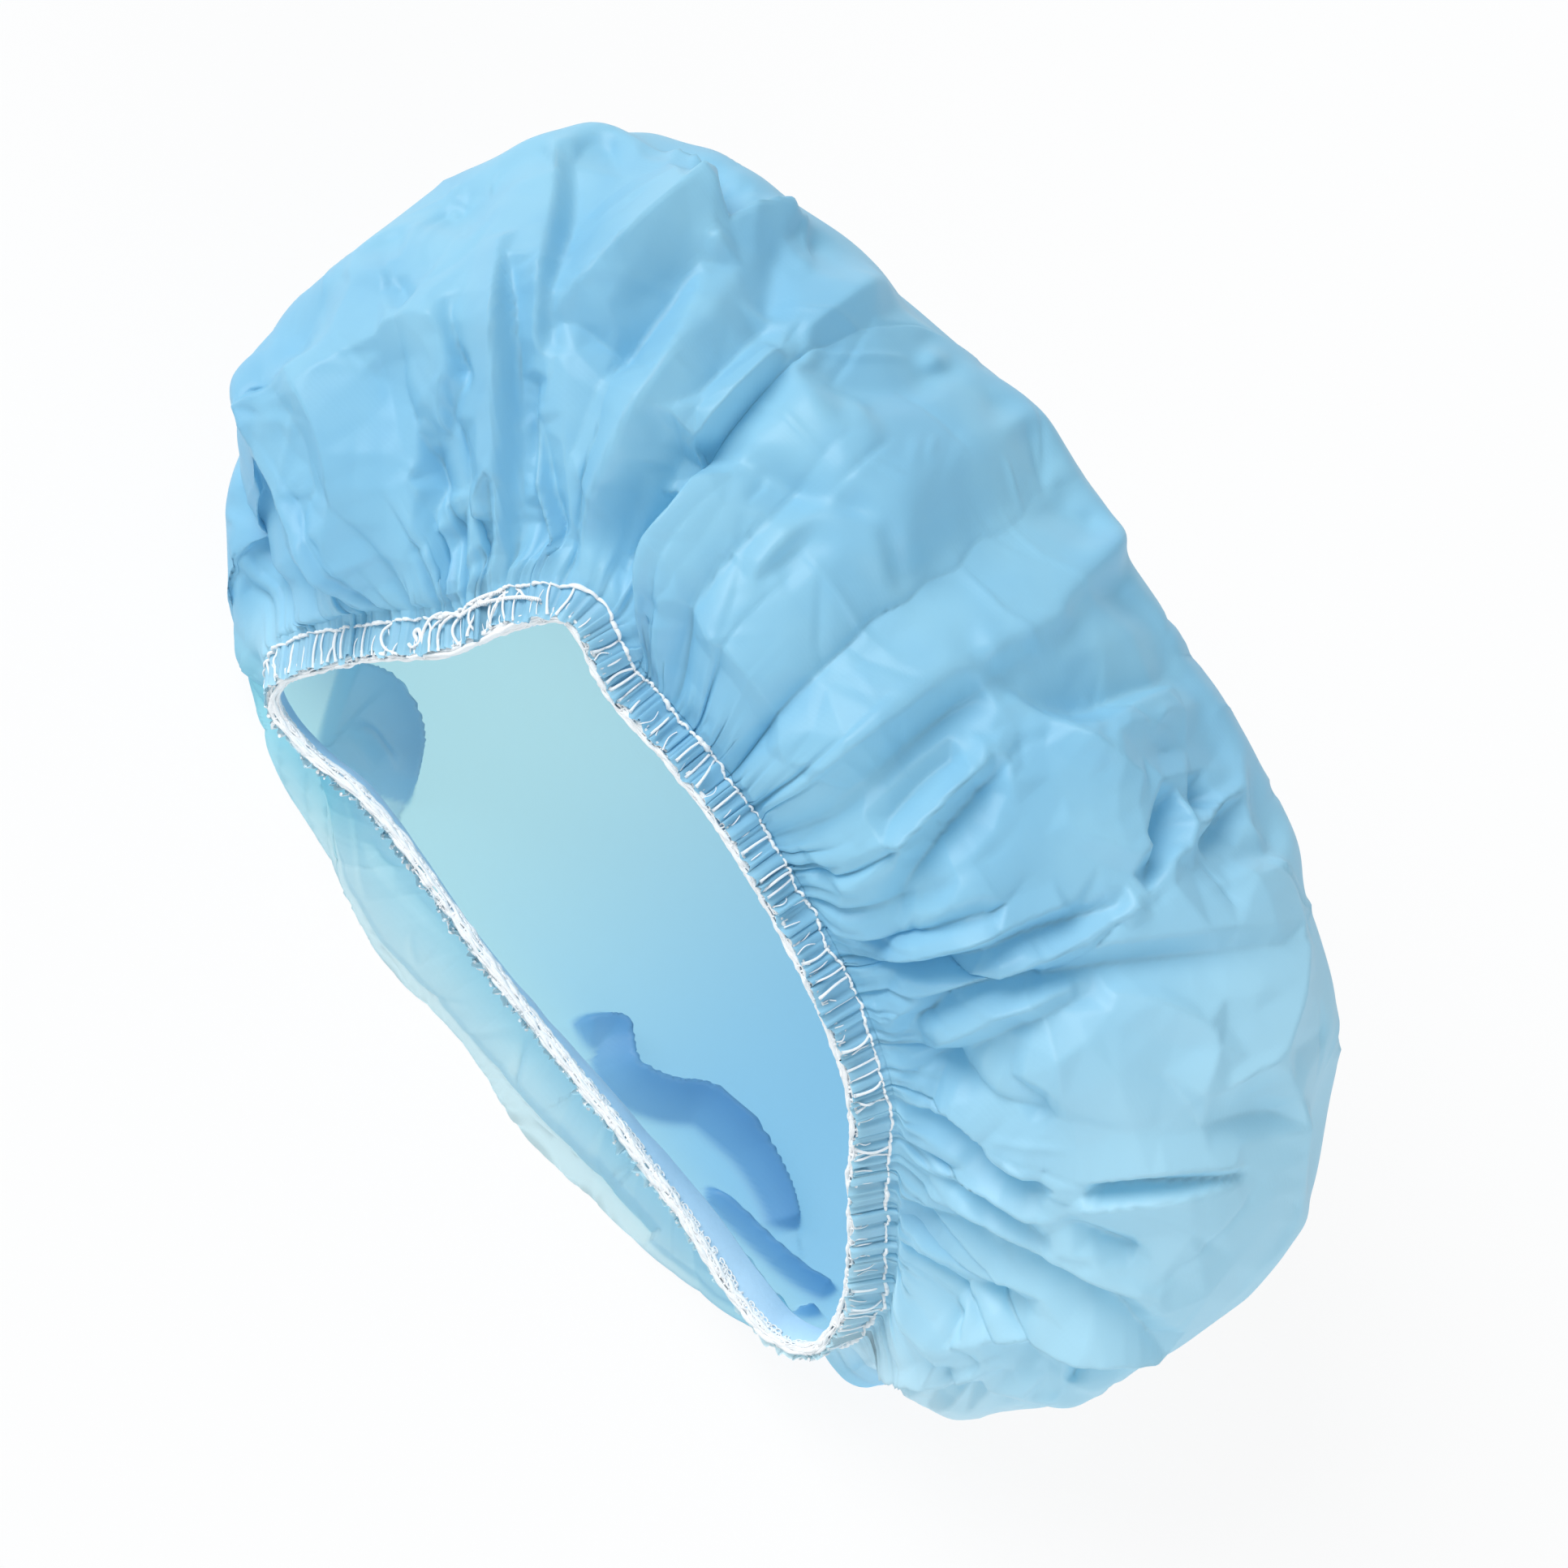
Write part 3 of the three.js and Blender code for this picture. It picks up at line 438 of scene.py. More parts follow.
# The creases and facets
# Each crease runs through pixels of the photograph with its height there in mm, above or below
# the smooth film. Before the pixels stand its widths in mm, left and right of its own way.
CREASES = {
    "lobe_outer_ridge": (7, 9, [(293, 484, 1.5), (312, 560, 2.5), (346, 608, 2.5), (393, 670, 2),
        (429, 699, 1)]),
    "lobe_inner_ridge": (10, 6, [(346, 441, 1), (384, 494, 2.5), (408, 551, 3.2), (417, 608, 3),
        (425, 666, 2), (434, 718, 0.5)]),
    "lobe_soft_valley": (14, 14, [(460, 412, -1), (463, 450, -2.5), (468, 490, -2.5), (484, 541, -1.5),
        (500, 590, -1)]),
    "lobe_crest": (15, 8, [(460, 405, 1.5), (510, 392, 2), (561, 398, 1.5)]),
    "star_valley": (4, 4, [(470, 322, 0), (484, 345, -2), (500, 372, -1.5), (505, 395, 0)]),
    "star_ridge": (3, 3, [(430, 332, 0), (470, 338, 1.2), (486, 344, 1)]),
    "sliver_valley": (3, 4, [(561, 369, -0.5), (566, 417, -2), (576, 455, -3), (586, 482, -1)]),
    "sliver_ridge": (3, 5, [(552, 380, 0.5), (556, 430, 1.5), (562, 465, 1)]),
    "bent_valley": (4, 4, [(575, 468, -1), (560, 500, -2), (547, 541, -3), (540, 590, -3),
        (531, 640, -2), (528, 680, -1)]),
    "short_valley": (3, 3, [(510, 505, -0.5), (525, 530, -2), (528, 570, -3), (530, 610, -2)]),
    "straight_valley": (5, 4, [(571, 513, -1.5), (573, 560, -3), (571, 608, -3.2), (562, 666, -2.5),
        (548, 715, -1.5)]),
    "low_valley": (5, 3, [(618, 572, -0.5), (609, 608, -3), (606, 660, -3.2), (598, 704, -2),
        (590, 740, -1)]),
    "long_fold_ridge": (3.5, 9, [(627, 292, 0.5), (629, 350, 2.5), (627, 450, 3), (627, 550, 2.5),
        (632, 650, 2), (640, 740, 1)]),
    "long_fold_valley": (8, 2.5, [(636, 330, -1), (643, 385, -3.5), (641, 450, -4), (637, 530, -4),
        (640, 620, -3.5), (647, 720, -2)]),
    "upper_slit": (3, 3, [(664, 455, -1), (661, 494, -3), (654, 541, -3), (651, 600, -1)]),
    "lower_slit": (5, 3.5, [(673, 508, -1), (673, 561, -3), (681, 632, -3), (697, 695, -2.5),
        (702, 740, -1)]),
    "slit_ridge": (2.5, 3, [(668, 480, 1), (664, 560, 2), (672, 640, 2), (690, 710, 1.5)]),
    "side_slit": (3, 3, [(654, 608, -1), (661, 671, -3), (668, 730, -2)]),
    "tall_ridge": (5, 16, [(688, 170, 0.8), (685, 250, 1.6), (681, 330, 2.4), (672, 400, 2.2),
        (668, 440, 1.5)]),
    "tall_valley": (14, 4, [(706, 180, -0.8), (704, 250, -2.6), (698, 320, -3), (688, 390, -3),
        (678, 440, -2)]),
    "wing_ridge": (16, 9, [(683, 400, 2), (700, 385, 3), (780, 320, 5), (840, 265, 5.5),
        (872, 233, 4.5)]),
    "wing_valley": (9, 9, [(760, 440, -1), (774, 446, -4), (822, 385, -4), (866, 318, -3.5),
        (878, 290, -1.5)]),
    "wing_foot": (5, 6, [(690, 405, -0.5), (720, 402, -1.5), (774, 446, -3.5)]),
    "wing_end": (6, 4, [(872, 222, 1.5), (877, 297, 1)]),
    "front_edge_ridge": (5, 20, [(700, 162, 1.6), (760, 165, 2.4), (820, 183, 3), (868, 222, 3)]),
    "behind_edge_valley": (6, 4, [(800, 172, -1.5), (850, 190, -3), (890, 215, -3), (905, 262, -3),
        (885, 292, -3)]),
    "back_wrinkle": (3, 3, [(830, 195, -0.6), (900, 225, -1), (960, 250, -0.6)]),
    "shoulder_edge_ridge": (3.5, 12, [(885, 290, 3), (905, 275, 3.5), (950, 263, 3), (985, 262, 2)]),
    "shoulder_ridge": (9, 11, [(889, 288, 3), (866, 355, 2.5), (831, 455, 3), (800, 513, 4),
        (765, 590, 4.5), (728, 671, 4), (712, 720, 2.5)]),
    "shoulder_valley": (5, 9, [(974, 270, -1), (965, 330, -1.8), (957, 391, -2.5)]),
    "pleat_valley": (4, 9, [(956, 391, -2.5), (900, 450, -2), (855, 495, -1.5), (805, 514, -1)]),
    "pleat_ridge": (2.5, 5, [(964, 430, 2), (915, 475, 2.2), (868, 528, 2), (848, 545, 1)]),
    "pleat_shadow": (10, 2.5, [(972, 440, -1), (928, 492, -2.5), (882, 540, -3.2), (850, 553, -4)]),
    "deep_valley": (7, 8, [(848, 550, -4.5), (826, 605, -5), (790, 668, -4.5), (755, 735, -3),
        (742, 768, -1.5)]),
    "deep_valley_ridge": (8, 4, [(866, 580, 1.5), (850, 640, 2), (818, 700, 2), (790, 760, 1.2)]),
    "deep_valley_fold": (2.5, 2.5, [(832, 562, 0.6), (800, 640, 1.4), (768, 706, 0.8)]),
    "pleat_foot": (3, 5, [(803, 515, -1), (826, 530, -2), (846, 546, -3)]),
    "middle_ridge": (12, 14, [(966, 430, 1.6), (990, 480, 1.8), (1020, 540, 1.8), (1048, 595, 1.5),
        (1078, 636, 0.6)]),
    "middle_valley": (6, 9, [(852, 547, -3.5), (905, 568, -2), (965, 600, -2.5), (1020, 626, -2.5)]),
    "pinch_valley": (2.5, 3, [(1022, 624, -2.5), (1050, 634, -3), (1080, 644, -2.5)]),
    "pinch_ridge": (2, 4, [(1022, 632, 1.5), (1060, 646, 1.5), (1078, 650, 1)]),
    "wedge_ridge": (3.5, 7, [(1020, 632, 1.5), (970, 668, 2), (926, 713, 2)]),
    "wedge_valley": (7, 3, [(1012, 650, -0.8), (965, 690, -2), (930, 716, -1.2)]),
    "broad_ridge": (14, 14, [(1085, 636, 0.8), (1130, 595, 1.6), (1180, 560, 1.8), (1240, 524, 1.6),
        (1290, 506, 1)]),
    "broad_valley": (12, 16, [(1105, 712, -1.6), (1150, 685, -2), (1210, 645, -1.8), (1270, 605, -1.4),
        (1320, 570, -0.8)]),
    "broad_valley_foot": (3, 3, [(1086, 650, -1.5), (1100, 680, -2), (1114, 718, -2.5)]),
    "small_ridge": (4, 2.5, [(1058, 486, 1), (1061, 520, 1.5), (1063, 566, 1)]),
    "upper_ridge": (10, 6, [(985, 412, 1.5), (1040, 375, 3), (1098, 340, 3)]),
    "upper_valley": (14, 7, [(1000, 445, -1.2), (1060, 475, -2.4), (1115, 472, -2.2),
        (1170, 478, -1.2)]),
    "flank_ridge": (16, 5, [(1213, 813, 2.5), (1270, 780, 3.2), (1308, 757, 3.5), (1318, 736, 3.2),
        (1350, 695, 3), (1385, 652, 2)]),
    "flank_valley": (12, 7, [(1222, 818, -1.5), (1260, 840, -3), (1294, 860, -4), (1351, 866, -4),
        (1426, 838, -3), (1485, 826, -1.5)]),
    "flank_lower_ridge": (4, 12, [(1300, 885, 1), (1360, 885, 2.5), (1430, 850, 3), (1470, 838, 2)]),
    "diagonal_ridge": (5, 14, [(1210, 815, 2.5), (1140, 858, 3.2), (1080, 900, 3), (1015, 945, 1.5)]),
    "diagonal_valley": (9, 9, [(1225, 848, -2), (1170, 882, -3.8), (1110, 925, -4), (1050, 968, -3.2),
        (1000, 1010, -2.5), (965, 1050, -1.5)]),
    "tongue_valley": (3, 4, [(1190, 925, -1.5), (1130, 965, -2), (1080, 1005, -2)]),
    "tongue_ridge": (3.5, 4, [(1226, 930, 2), (1180, 965, 3.2), (1140, 998, 3.2), (1095, 1035, 2.5),
        (1053, 1072, 2), (1027, 1105, 1.2)]),
    "tongue_shadow": (8, 3, [(1221, 957, -1.5), (1155, 1018, -3.2), (1115, 1060, -3),
        (1073, 1110, -2)]),
    "tongue_tip": (3, 3, [(1200, 920, 1), (1228, 922, 1.5), (1246, 942, 1.5), (1240, 975, 0.8)]),
    "panel_ridge": (8, 6, [(1252, 850, 1), (1323, 896, 1.8), (1380, 935, 1.8), (1425, 960, 1.2)]),
    "panel_end_ridge": (6, 5, [(1425, 960, 1.2), (1460, 950, 1.5), (1495, 940, 1.5)]),
    "panel_lower_ridge": (5, 5, [(1300, 1000, 0.5), (1370, 1035, 1.2), (1430, 1055, 1.2)]),
    "pocket_valley": (5, 2.5, [(1466, 960, -2), (1452, 1000, -4.5), (1438, 1045, -4),
        (1420, 1100, -2)]),
    "pocket_ridge": (3, 3, [(1466, 958, 1.5), (1480, 995, 2), (1492, 1026, 2.5)]),
    "pocket_lower_ridge": (5, 2.5, [(1492, 1027, 2.5), (1455, 1058, 1.5), (1420, 1105, 1.5)]),
    "pocket_notch": (3, 3, [(1492, 942, -1), (1503, 968, -3), (1512, 985, -2)]),
    "pocket_right_ridge": (3, 4, [(1492, 1026, 2), (1517, 990, 2), (1540, 962, 2.2)]),
    "pocket_shadow": (3, 6, [(1500, 1040, -1.5), (1530, 1000, -3), (1545, 975, -1.5)]),
    "right_edge_ridge": (5, 6, [(1535, 925, 1.5), (1542, 970, 2), (1560, 1020, 1.5), (1590, 1080, 1),
        (1607, 1150, 1)]),
    "long_valley": (5, 10, [(1085, 1290, -2.5), (1120, 1272, -3.5), (1180, 1243, -4.2),
        (1240, 1226, -4.2), (1310, 1207, -4), (1410, 1187, -3.2), (1500, 1172, -2.5),
        (1600, 1157, -1)]),
    "above_long_ridge": (7, 4, [(1100, 1262, 1.5), (1180, 1225, 2.5), (1250, 1192, 2.5),
        (1333, 1160, 2.2), (1418, 1108, 1.5)]),
    "second_valley": (4, 5, [(1090, 1208, -2), (1155, 1178, -3), (1252, 1143, -3), (1329, 1127, -2.5),
        (1400, 1108, -1)]),
    "second_ridge": (6, 4, [(1053, 1180, 1.2), (1114, 1153, 2), (1226, 1134, 2.2), (1323, 1107, 1.2)]),
    "third_valley": (4, 4, [(1040, 1150, -1.5), (1100, 1120, -2.5), (1180, 1105, -2),
        (1230, 1110, -1)]),
    "lower_long_valley": (6, 8, [(1094, 1330, -2.5), (1160, 1308, -3.5), (1257, 1282, -3.2),
        (1320, 1252, -2), (1369, 1222, -1)]),
    "lower_long_ridge": (8, 3, [(1100, 1312, 1), (1180, 1283, 2), (1260, 1255, 2), (1340, 1220, 1.5)]),
    "dome_arc": (4, 8, [(1359, 1228, 0.8), (1430, 1235, 1.5), (1487, 1268, 2), (1480, 1320, 1.5),
        (1461, 1360, 1)]),
    "dome_valley": (4, 4, [(1257, 1289, -1.5), (1252, 1325, -2), (1288, 1355, -2.5),
        (1303, 1368, -1.5)]),
    "right_ridge": (10, 6, [(1461, 1358, 1), (1515, 1325, 2.2), (1568, 1293, 2.5)]),
    "right_valley": (10, 5, [(1480, 1385, -1), (1540, 1375, -2), (1595, 1368, -2)]),
    "right_border": (4, 7, [(1609, 1146, 1.2), (1590, 1220, 1.5), (1568, 1293, 2), (1585, 1330, 1.5),
        (1600, 1370, 1.5), (1606, 1440, 1.2), (1604, 1520, 1)]),
    "fan_valley": (5, 4, [(1090, 1352, -1.5), (1150, 1362, -3), (1200, 1393, -3.5), (1240, 1425, -3.5),
        (1275, 1446, -2.5), (1310, 1450, -1)]),
    "fan_ridge": (9, 2.5, [(1150, 1348, 1.5), (1190, 1360, 2), (1240, 1405, 2.2), (1290, 1436, 1.5)]),
    "fan_second_ridge": (3, 5, [(1094, 1391, 1), (1140, 1425, 2), (1227, 1452, 2.5), (1278, 1483, 2.2),
        (1308, 1487, 1.5)]),
    "fan_second_valley": (4, 4, [(1110, 1420, -1.5), (1170, 1445, -2), (1230, 1472, -2.5),
        (1270, 1500, -2), (1308, 1529, -1)]),
    "slot_valley": (3, 2.2, [(1339, 1457, -1.5), (1360, 1457, -3), (1430, 1455, -2.6),
        (1500, 1448, -1.6), (1538, 1442, -0.8)]),
    "slot_upper_ridge": (8, 3, [(1330, 1442, 1), (1400, 1440, 1.5), (1530, 1430, 1)]),
    "slot_lower_ridge": (2.5, 8, [(1325, 1482, 1.5), (1345, 1472, 2), (1420, 1470, 2.2),
        (1530, 1450, 1)]),
    "hook_valley": (3, 3.5, [(1312, 1486, -1), (1336, 1500, -2.5), (1362, 1520, -3), (1395, 1534, -2.5),
        (1410, 1530, -1)]),
    "great_valley": (6, 9, [(1094, 1462, -2.5), (1130, 1466, -3.5), (1206, 1503, -3.8),
        (1267, 1539, -4.2), (1344, 1580, -4.5), (1390, 1612, -4), (1430, 1655, -2.5)]),
    "great_ridge": (6, 3, [(1140, 1452, 1.5), (1206, 1485, 2), (1290, 1530, 2), (1360, 1568, 1.8),
        (1420, 1590, 1)]),
    "foot_valley": (5, 3, [(1105, 1532, -2), (1135, 1548, -3.2), (1170, 1590, -4), (1200, 1635, -3)]),
    "foot_ridge": (2, 5, [(1099, 1545, 1.5), (1125, 1562, 2), (1152, 1598, 2.2), (1190, 1640, 1.8)]),
    "crumple_valley": (4, 4, [(1094, 1503, -1.5), (1140, 1535, -2.5), (1206, 1588, -3),
        (1240, 1590, -2.2), (1278, 1610, -1.5)]),
    "hem_ridge": (7, 4, [(1160, 1650, 1.2), (1206, 1643, 2), (1278, 1643, 2.2), (1334, 1654, 2.5),
        (1433, 1657, 2.5)]),
    "hem_valley": (4, 5, [(1220, 1668, -1.5), (1290, 1665, -2.5), (1350, 1690, -3),
        (1400, 1680, -2.5)]),
    "last_valley": (4, 3, [(1230, 1680, -1.5), (1288, 1700, -2.5), (1339, 1715, -2)]),
    "loop_ridge": (3, 3, [(1090, 1660, 1), (1130, 1668, 2), (1155, 1664, 2.5), (1185, 1680, 2.5),
        (1216, 1676, 2), (1240, 1665, 1)]),
    "loop_valley": (2.5, 3, [(1080, 1672, -1.5), (1150, 1678, -2.5), (1190, 1692, -2.5),
        (1220, 1690, -1.5)]),
    "inner_panel_ridge": (6, 4, [(857, 727, 0.6), (892, 767, 1.5), (932, 807, 1.6), (958, 853, 1.5),
        (985, 920, 1.2)]),
    "strip_valley": (2.5, 2.5, [(452, 1030, -0.5), (470, 1060, -1.5), (505, 1085, -1)]),
    "strip_second_valley": (2.5, 2.5, [(500, 1090, -1), (545, 1135, -1.5), (580, 1168, -1)]),
    "strip_notch": (1.5, 2, [(650, 1268, -0.5), (645, 1300, -1.5), (642, 1340, -0.5)]),
}
# How sharp the creases are, how much higher than written, how far apart the points along them,
# in pixels, and over how many of these they fade out at their ends.
CREASE_SHARPNESS, CREASE_GAIN, CREASE_STEP, CREASE_FADE = 1.25, 1.75, 8, 2.5

# The folds seen through the mouth. They are written as the creases are, but stand into the cap.
INNER_FOLDS = {
    "left_flap": (38, 2.2, [(415, 822, 5), (468, 846, 7), (491, 884, 8), (503, 920, 8), (501, 956, 7),
        (495, 994, 5)]),
    "left_flap_crease": (3, 3, [(412, 905, 1), (438, 918, 2), (457, 948, 2), (474, 964, 1)]),
    "upper_fold": (11, 2.2, [(700, 1266, 3), (728, 1258, 4), (758, 1259, 5), (768, 1290, 5),
        (768, 1318, 6), (813, 1340, 6), (861, 1346, 6), (909, 1384, 6), (935, 1413, 5), (966, 1468, 4),
        (980, 1519, 3)]),
    "middle_fold": (6, 2.2, [(863, 1462, 2), (891, 1481, 3.5), (927, 1517, 3.5), (963, 1551, 3.5),
        (999, 1576, 3.5), (1032, 1592, 3)]),
    "lower_fold": (4, 2, [(915, 1565, 2), (956, 1597, 3), (981, 1606, 3), (1015, 1622, 3)]),
}

# Places where the outline stands out of the smooth body or back from it: a pixel on the outline,
# how far, and how wide the place is, in mm.
OUTLINE_TOUCHES = (
    (806, 177, -5.0, 26), (551, 231, -5.5, 22), (700, 163, 2.5, 34), (352, 402, -5.0, 18),
    (300, 470, 4.0, 16), (285, 610, -8.0, 26), (285, 690, -14.0, 34), (358, 955, -9.0, 30),
    (500, 1215, 1.5, 20), (620, 1356, 3.5, 40), (700, 1445, 1.5, 40), (815, 1560, 3.0, 35),
    (1499, 849, 2.4, 40), (1562, 961, 1.5, 30), (1592, 1026, 1.0, 18), (1326, 568, 0.8, 26),
    (1240, 475, 1.0, 20), (1060, 305, 3.8, 22), (945, 224, 3.5, 30), (1226, 1740, -2.0, 18),
    (1137, 1731, -1.5, 18), (1315, 1730, 3.0, 16), (1630, 1390, -2.0, 24),
    (450, 1150, 1.5, 30), (930, 1645, 1.5, 24),
)

# The film is stiff enough to lie in flat panels. Each panel is named by the pixel of its middle,
# how deep it cuts into the smooth film in mm, and how far it leans to the photograph's right and
# down, in degrees.
FACETS = {
    "lobe_top": (560, 290, 2.0, -3, -3), "lobe_corner": (420, 400, 1.8, 0, 0),
    "lobe_middle": (510, 470, 1.6, 3, 3), "lobe_side": (370, 560, 1.6, 0, 0),
    "lobe_low": (470, 640, 1.4, 2, 0), "lobe_edge": (330, 430, 1.6, 0, 0),
    "front_top": (655, 240, 1.6, -4, 0), "front_right": (790, 260, 2.0, -5, -4),
    "wing_under": (830, 360, 2.2, 6, 6), "shoulder": (925, 340, 2.0, 3, 1),
    "shoulder_right": (1030, 320, 2.0, -2, 0), "shoulder_low": (900, 430, 1.8, 3, 3),
    "upper_dark": (1085, 430, 2.4, 5, 5), "upper_edge": (1215, 470, 2.2, 2, 0),
    "middle_triangle": (985, 560, 2.0, 0, -2), "middle_left": (900, 640, 2.0, -4, -4),
    "crest": (1160, 545, 1.8, -3, -3), "crest_right": (1330, 560, 2.0, 0, 0),
    "broad_panel": (1240, 710, 2.0, -2, -3), "wedge_panel": (1010, 750, 2.4, -4, -4),
    "flank_dark": (1385, 760, 2.4, 6, 5), "flank_edge": (1440, 740, 2.0, 2, 0),
    "flank_low": (1390, 910, 2.4, -5, -5), "flank_corner": (1515, 880, 2.0, 0, 0),
    "diagonal_dark": (1110, 890, 2.0, 5, 5), "middle_panel": (1310, 985, 2.6, -4, -3),
    "right_panel": (1520, 1100, 2.4, -4, -4), "right_edge": (1600, 1100, 2.0, 2, 0),
    "under_pocket": (1380, 1150, 2.0, 2, 3), "below_valley": (1470, 1230, 2.4, -3, -4),
    "dome_panel": (1380, 1310, 2.6, -4, -4), "right_dark": (1530, 1335, 2.0, 6, 4),
    "right_low": (1480, 1420, 2.2, -4, -4), "far_right": (1625, 1400, 2.2, 2, 0),
    "fan_panel": (1240, 1350, 2.0, -4, -4), "corner": (1545, 1520, 2.2, 0, 0),
    "corner_low": (1420, 1540, 2.2, -4, -4), "corner_edge": (1510, 1612, 2.2, 0, 0),
    "tail_middle": (1250, 1575, 1.8, 0, 2), "tail_dark": (1330, 1690, 1.8, 4, 4),
    "tail_edge": (1260, 1735, 2.0, 0, 0), "tail_left": (1130, 1715, 1.8, -3, 0),
    "strip_top": (390, 1000, 1.4, 0, 0), "strip_upper": (450, 1130, 1.6, 0, 0),
    "strip_middle": (560, 1280, 1.6, 0, 0), "strip_low": (680, 1420, 1.6, 0, 0),
    "strip_end": (830, 1560, 1.4, 0, 0),
}
# The hidden side's panels are random: how many, how deep, how far apart and how far they lean.
HIDDEN_FACETS, HIDDEN_DEPTH, HIDDEN_GAP, HIDDEN_LEAN = 60, (1.4, 2.8), 22.0, 0.08
# They lie this high above the table and this far from the hem.
HIDDEN_HEIGHT, HIDDEN_FROM_HEM = 14.0, 30.0
# A panel reaches this far, cuts this deep at most, and only film that faces its way by this share.
FACET_REACH, FACET_LIMIT, FACET_FACING = 62.0, 6.0, 0.4
# The panels fade out where the film faces the camera by less than these shares, where they would
# move it further than these distances, and at these heights above the table.
FADE_FACING, FADE_MOVE, FADE_HEIGHT = (0.15, 0.45), (5.0, 9.0), (3.0, 13.0)

# The net of flat facets, in the photograph's pixels: how far apart its corners lie along a crease
# and elsewhere, the size of its bins, and how close two corners may come.
NET_STEP, NET_FILL, NET_BIN, NET_MERGE = 16, 64, 40, 2.5
# Where the net's own corners lie, how unevenly, and what part of the distances above is free
# round a crease's foot and round one of them.
NET_ACROSS, NET_DOWN, NET_JITTER, NET_FREE = (240, 1700), (120, 1790), 0.45, (0.8, 0.62)
# How many corners the net has on the hidden side, and the pixels that they lie between.
HIDDEN_SITES, HIDDEN_LOW, HIDDEN_HIGH = 420, (200, 100), (1720, 1800)
# How high these corners stand out, in mm, and how far the film must face away for it.
HIDDEN_RELIEF, HIDDEN_TURN = (-2.2, 1.4), (0.1, 0.4)
# How far, in mm, a place may be moved to fall on its pixel, and the shares by which the film has
# to face the camera there. SEEN is the least share for a place to be found at all. A place is
# made of this many of the film's points, the nearer ones counting more.
SNAP, SNAP_FACING, SEEN, FOUND, FOUND_SOFT = 1.5, (0.25, 0.5), 0.03, 4, 0.5
# Film that faces away from a crease by more than this isn't raised by it. A round place fades
# out between these shares.
CREASE_FACING, ROUND_FACING = 0.1, (0.1, 0.7)
# How much of the facets and creases is left where the film turns down, and above the table.
SETTLED_TURN, SETTLED_HEIGHT = (-0.35, 0.1), (16, 40)
# How far from the hem the facets and creases begin, in mm.
FOLDS_FROM_HEM = (0, 14)
# Random creases: how many, how long, high and wide in mm, how far from the hem at least, and by
# what share the film faces the camera at most.
LONG_WRINKLES = dict(count=60, seed=83, length=(20, 70), height=(0.8, 2.2), width=(4, 12),
                     low=25, facing=0.1)
SHORT_WRINKLES = dict(count=360, seed=84, length=(8, 34), height=(0.25, 0.8), width=(1.2, 3.2),
                      low=12, facing=1.0)
# They go on in steps of so many mm and turn a little. Two of three are valleys, and they rise at
# their ends with this power.
WRINKLE_STEP, WRINKLE_TURN, WRINKLE_SIGNS, WRINKLE_POWER = 2, 0.4, [-1, -1, 1], 0.7
# The film is softer round this pixel: how far from it in pixels, and how often the points are
# evened out. It is softer again where it turns away from the camera by these shares.
SOFT_PLACE, SOFT_REACH, SOFT_PASSES = np.array([1230, 540]), (120, 400), 10
SOFT_BACK, SOFT_FRONT, SOFT_TURN_PASSES = (-0.7, -0.35), (0.15, 0.4), 12
# This begins between these heights above the table.
SOFT_HEIGHT = (20, 40)
# The film counts as doubled where an inner fold stands this high, in mm.
DOUBLED = (0.5, 2.5)


def smooth_run(points, step):
    """Points along a smooth open curve through the given ones, a step apart."""
    points = np.asarray(points, float)
    padded = np.vstack([2 * points[0] - points[1], points, 2 * points[-1] - points[-2]])
    run = []
    for i in range(1, len(padded) - 2):
        a, b, c, d = padded[i - 1:i + 3]
        count = max(2, int(np.linalg.norm((c - b)[:2]) / step))
        t = (np.arange(count) / count)[:, None]
        run.append(between(t, a, b, c, d))
    return np.vstack(run + [points[-1:]])


def crease_run(pixels, step):
    """A crease's places and heights along a smooth line; it fades out at both ends."""
    run = smooth_run(pixels, step)
    ends = np.minimum(np.arange(len(run)), np.arange(len(run))[::-1])
    run[:, 2] *= CREASE_GAIN * np.clip((ends * step / CREASE_STEP + 0.5) / CREASE_FADE, 0, 1)
    return run


def tree_of(places, numbers):
    """A tree that finds numbered places."""
    tree = KDTree(len(numbers))
    for place, i in zip(places, numbers):
        tree.insert(place, i)
    tree.balance()
    return tree


def net_sites():
    """Pixels of the photograph where the flat facets meet, and the creases' edges between them."""
    kept, edges, feet = [], [], []
    for left, right, pixels in CREASES.values():
        run = crease_run(pixels, NET_STEP)
        base = len(kept)
        kept += run[:, :2].tolist()
        edges += [(base + i, base + i + 1) for i in range(len(run) - 1)]
        way = unit(np.gradient(run[:, :2], axis=0))
        across = np.stack([way[:, 1], -way[:, 0]], axis=-1)
        for width, sign in ((left, 1), (right, -1)):
            feet += (run[::2, :2] + sign * across[::2] * width / MM_PER_PIXEL).tolist()
    rng = np.random.default_rng(91)
    fill = np.stack(np.meshgrid(np.arange(*NET_ACROSS, NET_FILL),
                                np.arange(*NET_DOWN, NET_FILL)), axis=-1).reshape(-1, 2)
    fill = fill + rng.uniform(-NET_JITTER, NET_JITTER, fill.shape) * NET_FILL
    taken = np.array(kept)
    for group, gap in ((np.array(feet), NET_STEP * NET_FREE[0]), (fill, NET_FILL * NET_FREE[1])):
        for site in group:
            if np.min(np.hypot(*(taken - site).T)) > gap:
                taken = np.vstack([taken, site])
    return taken, edges


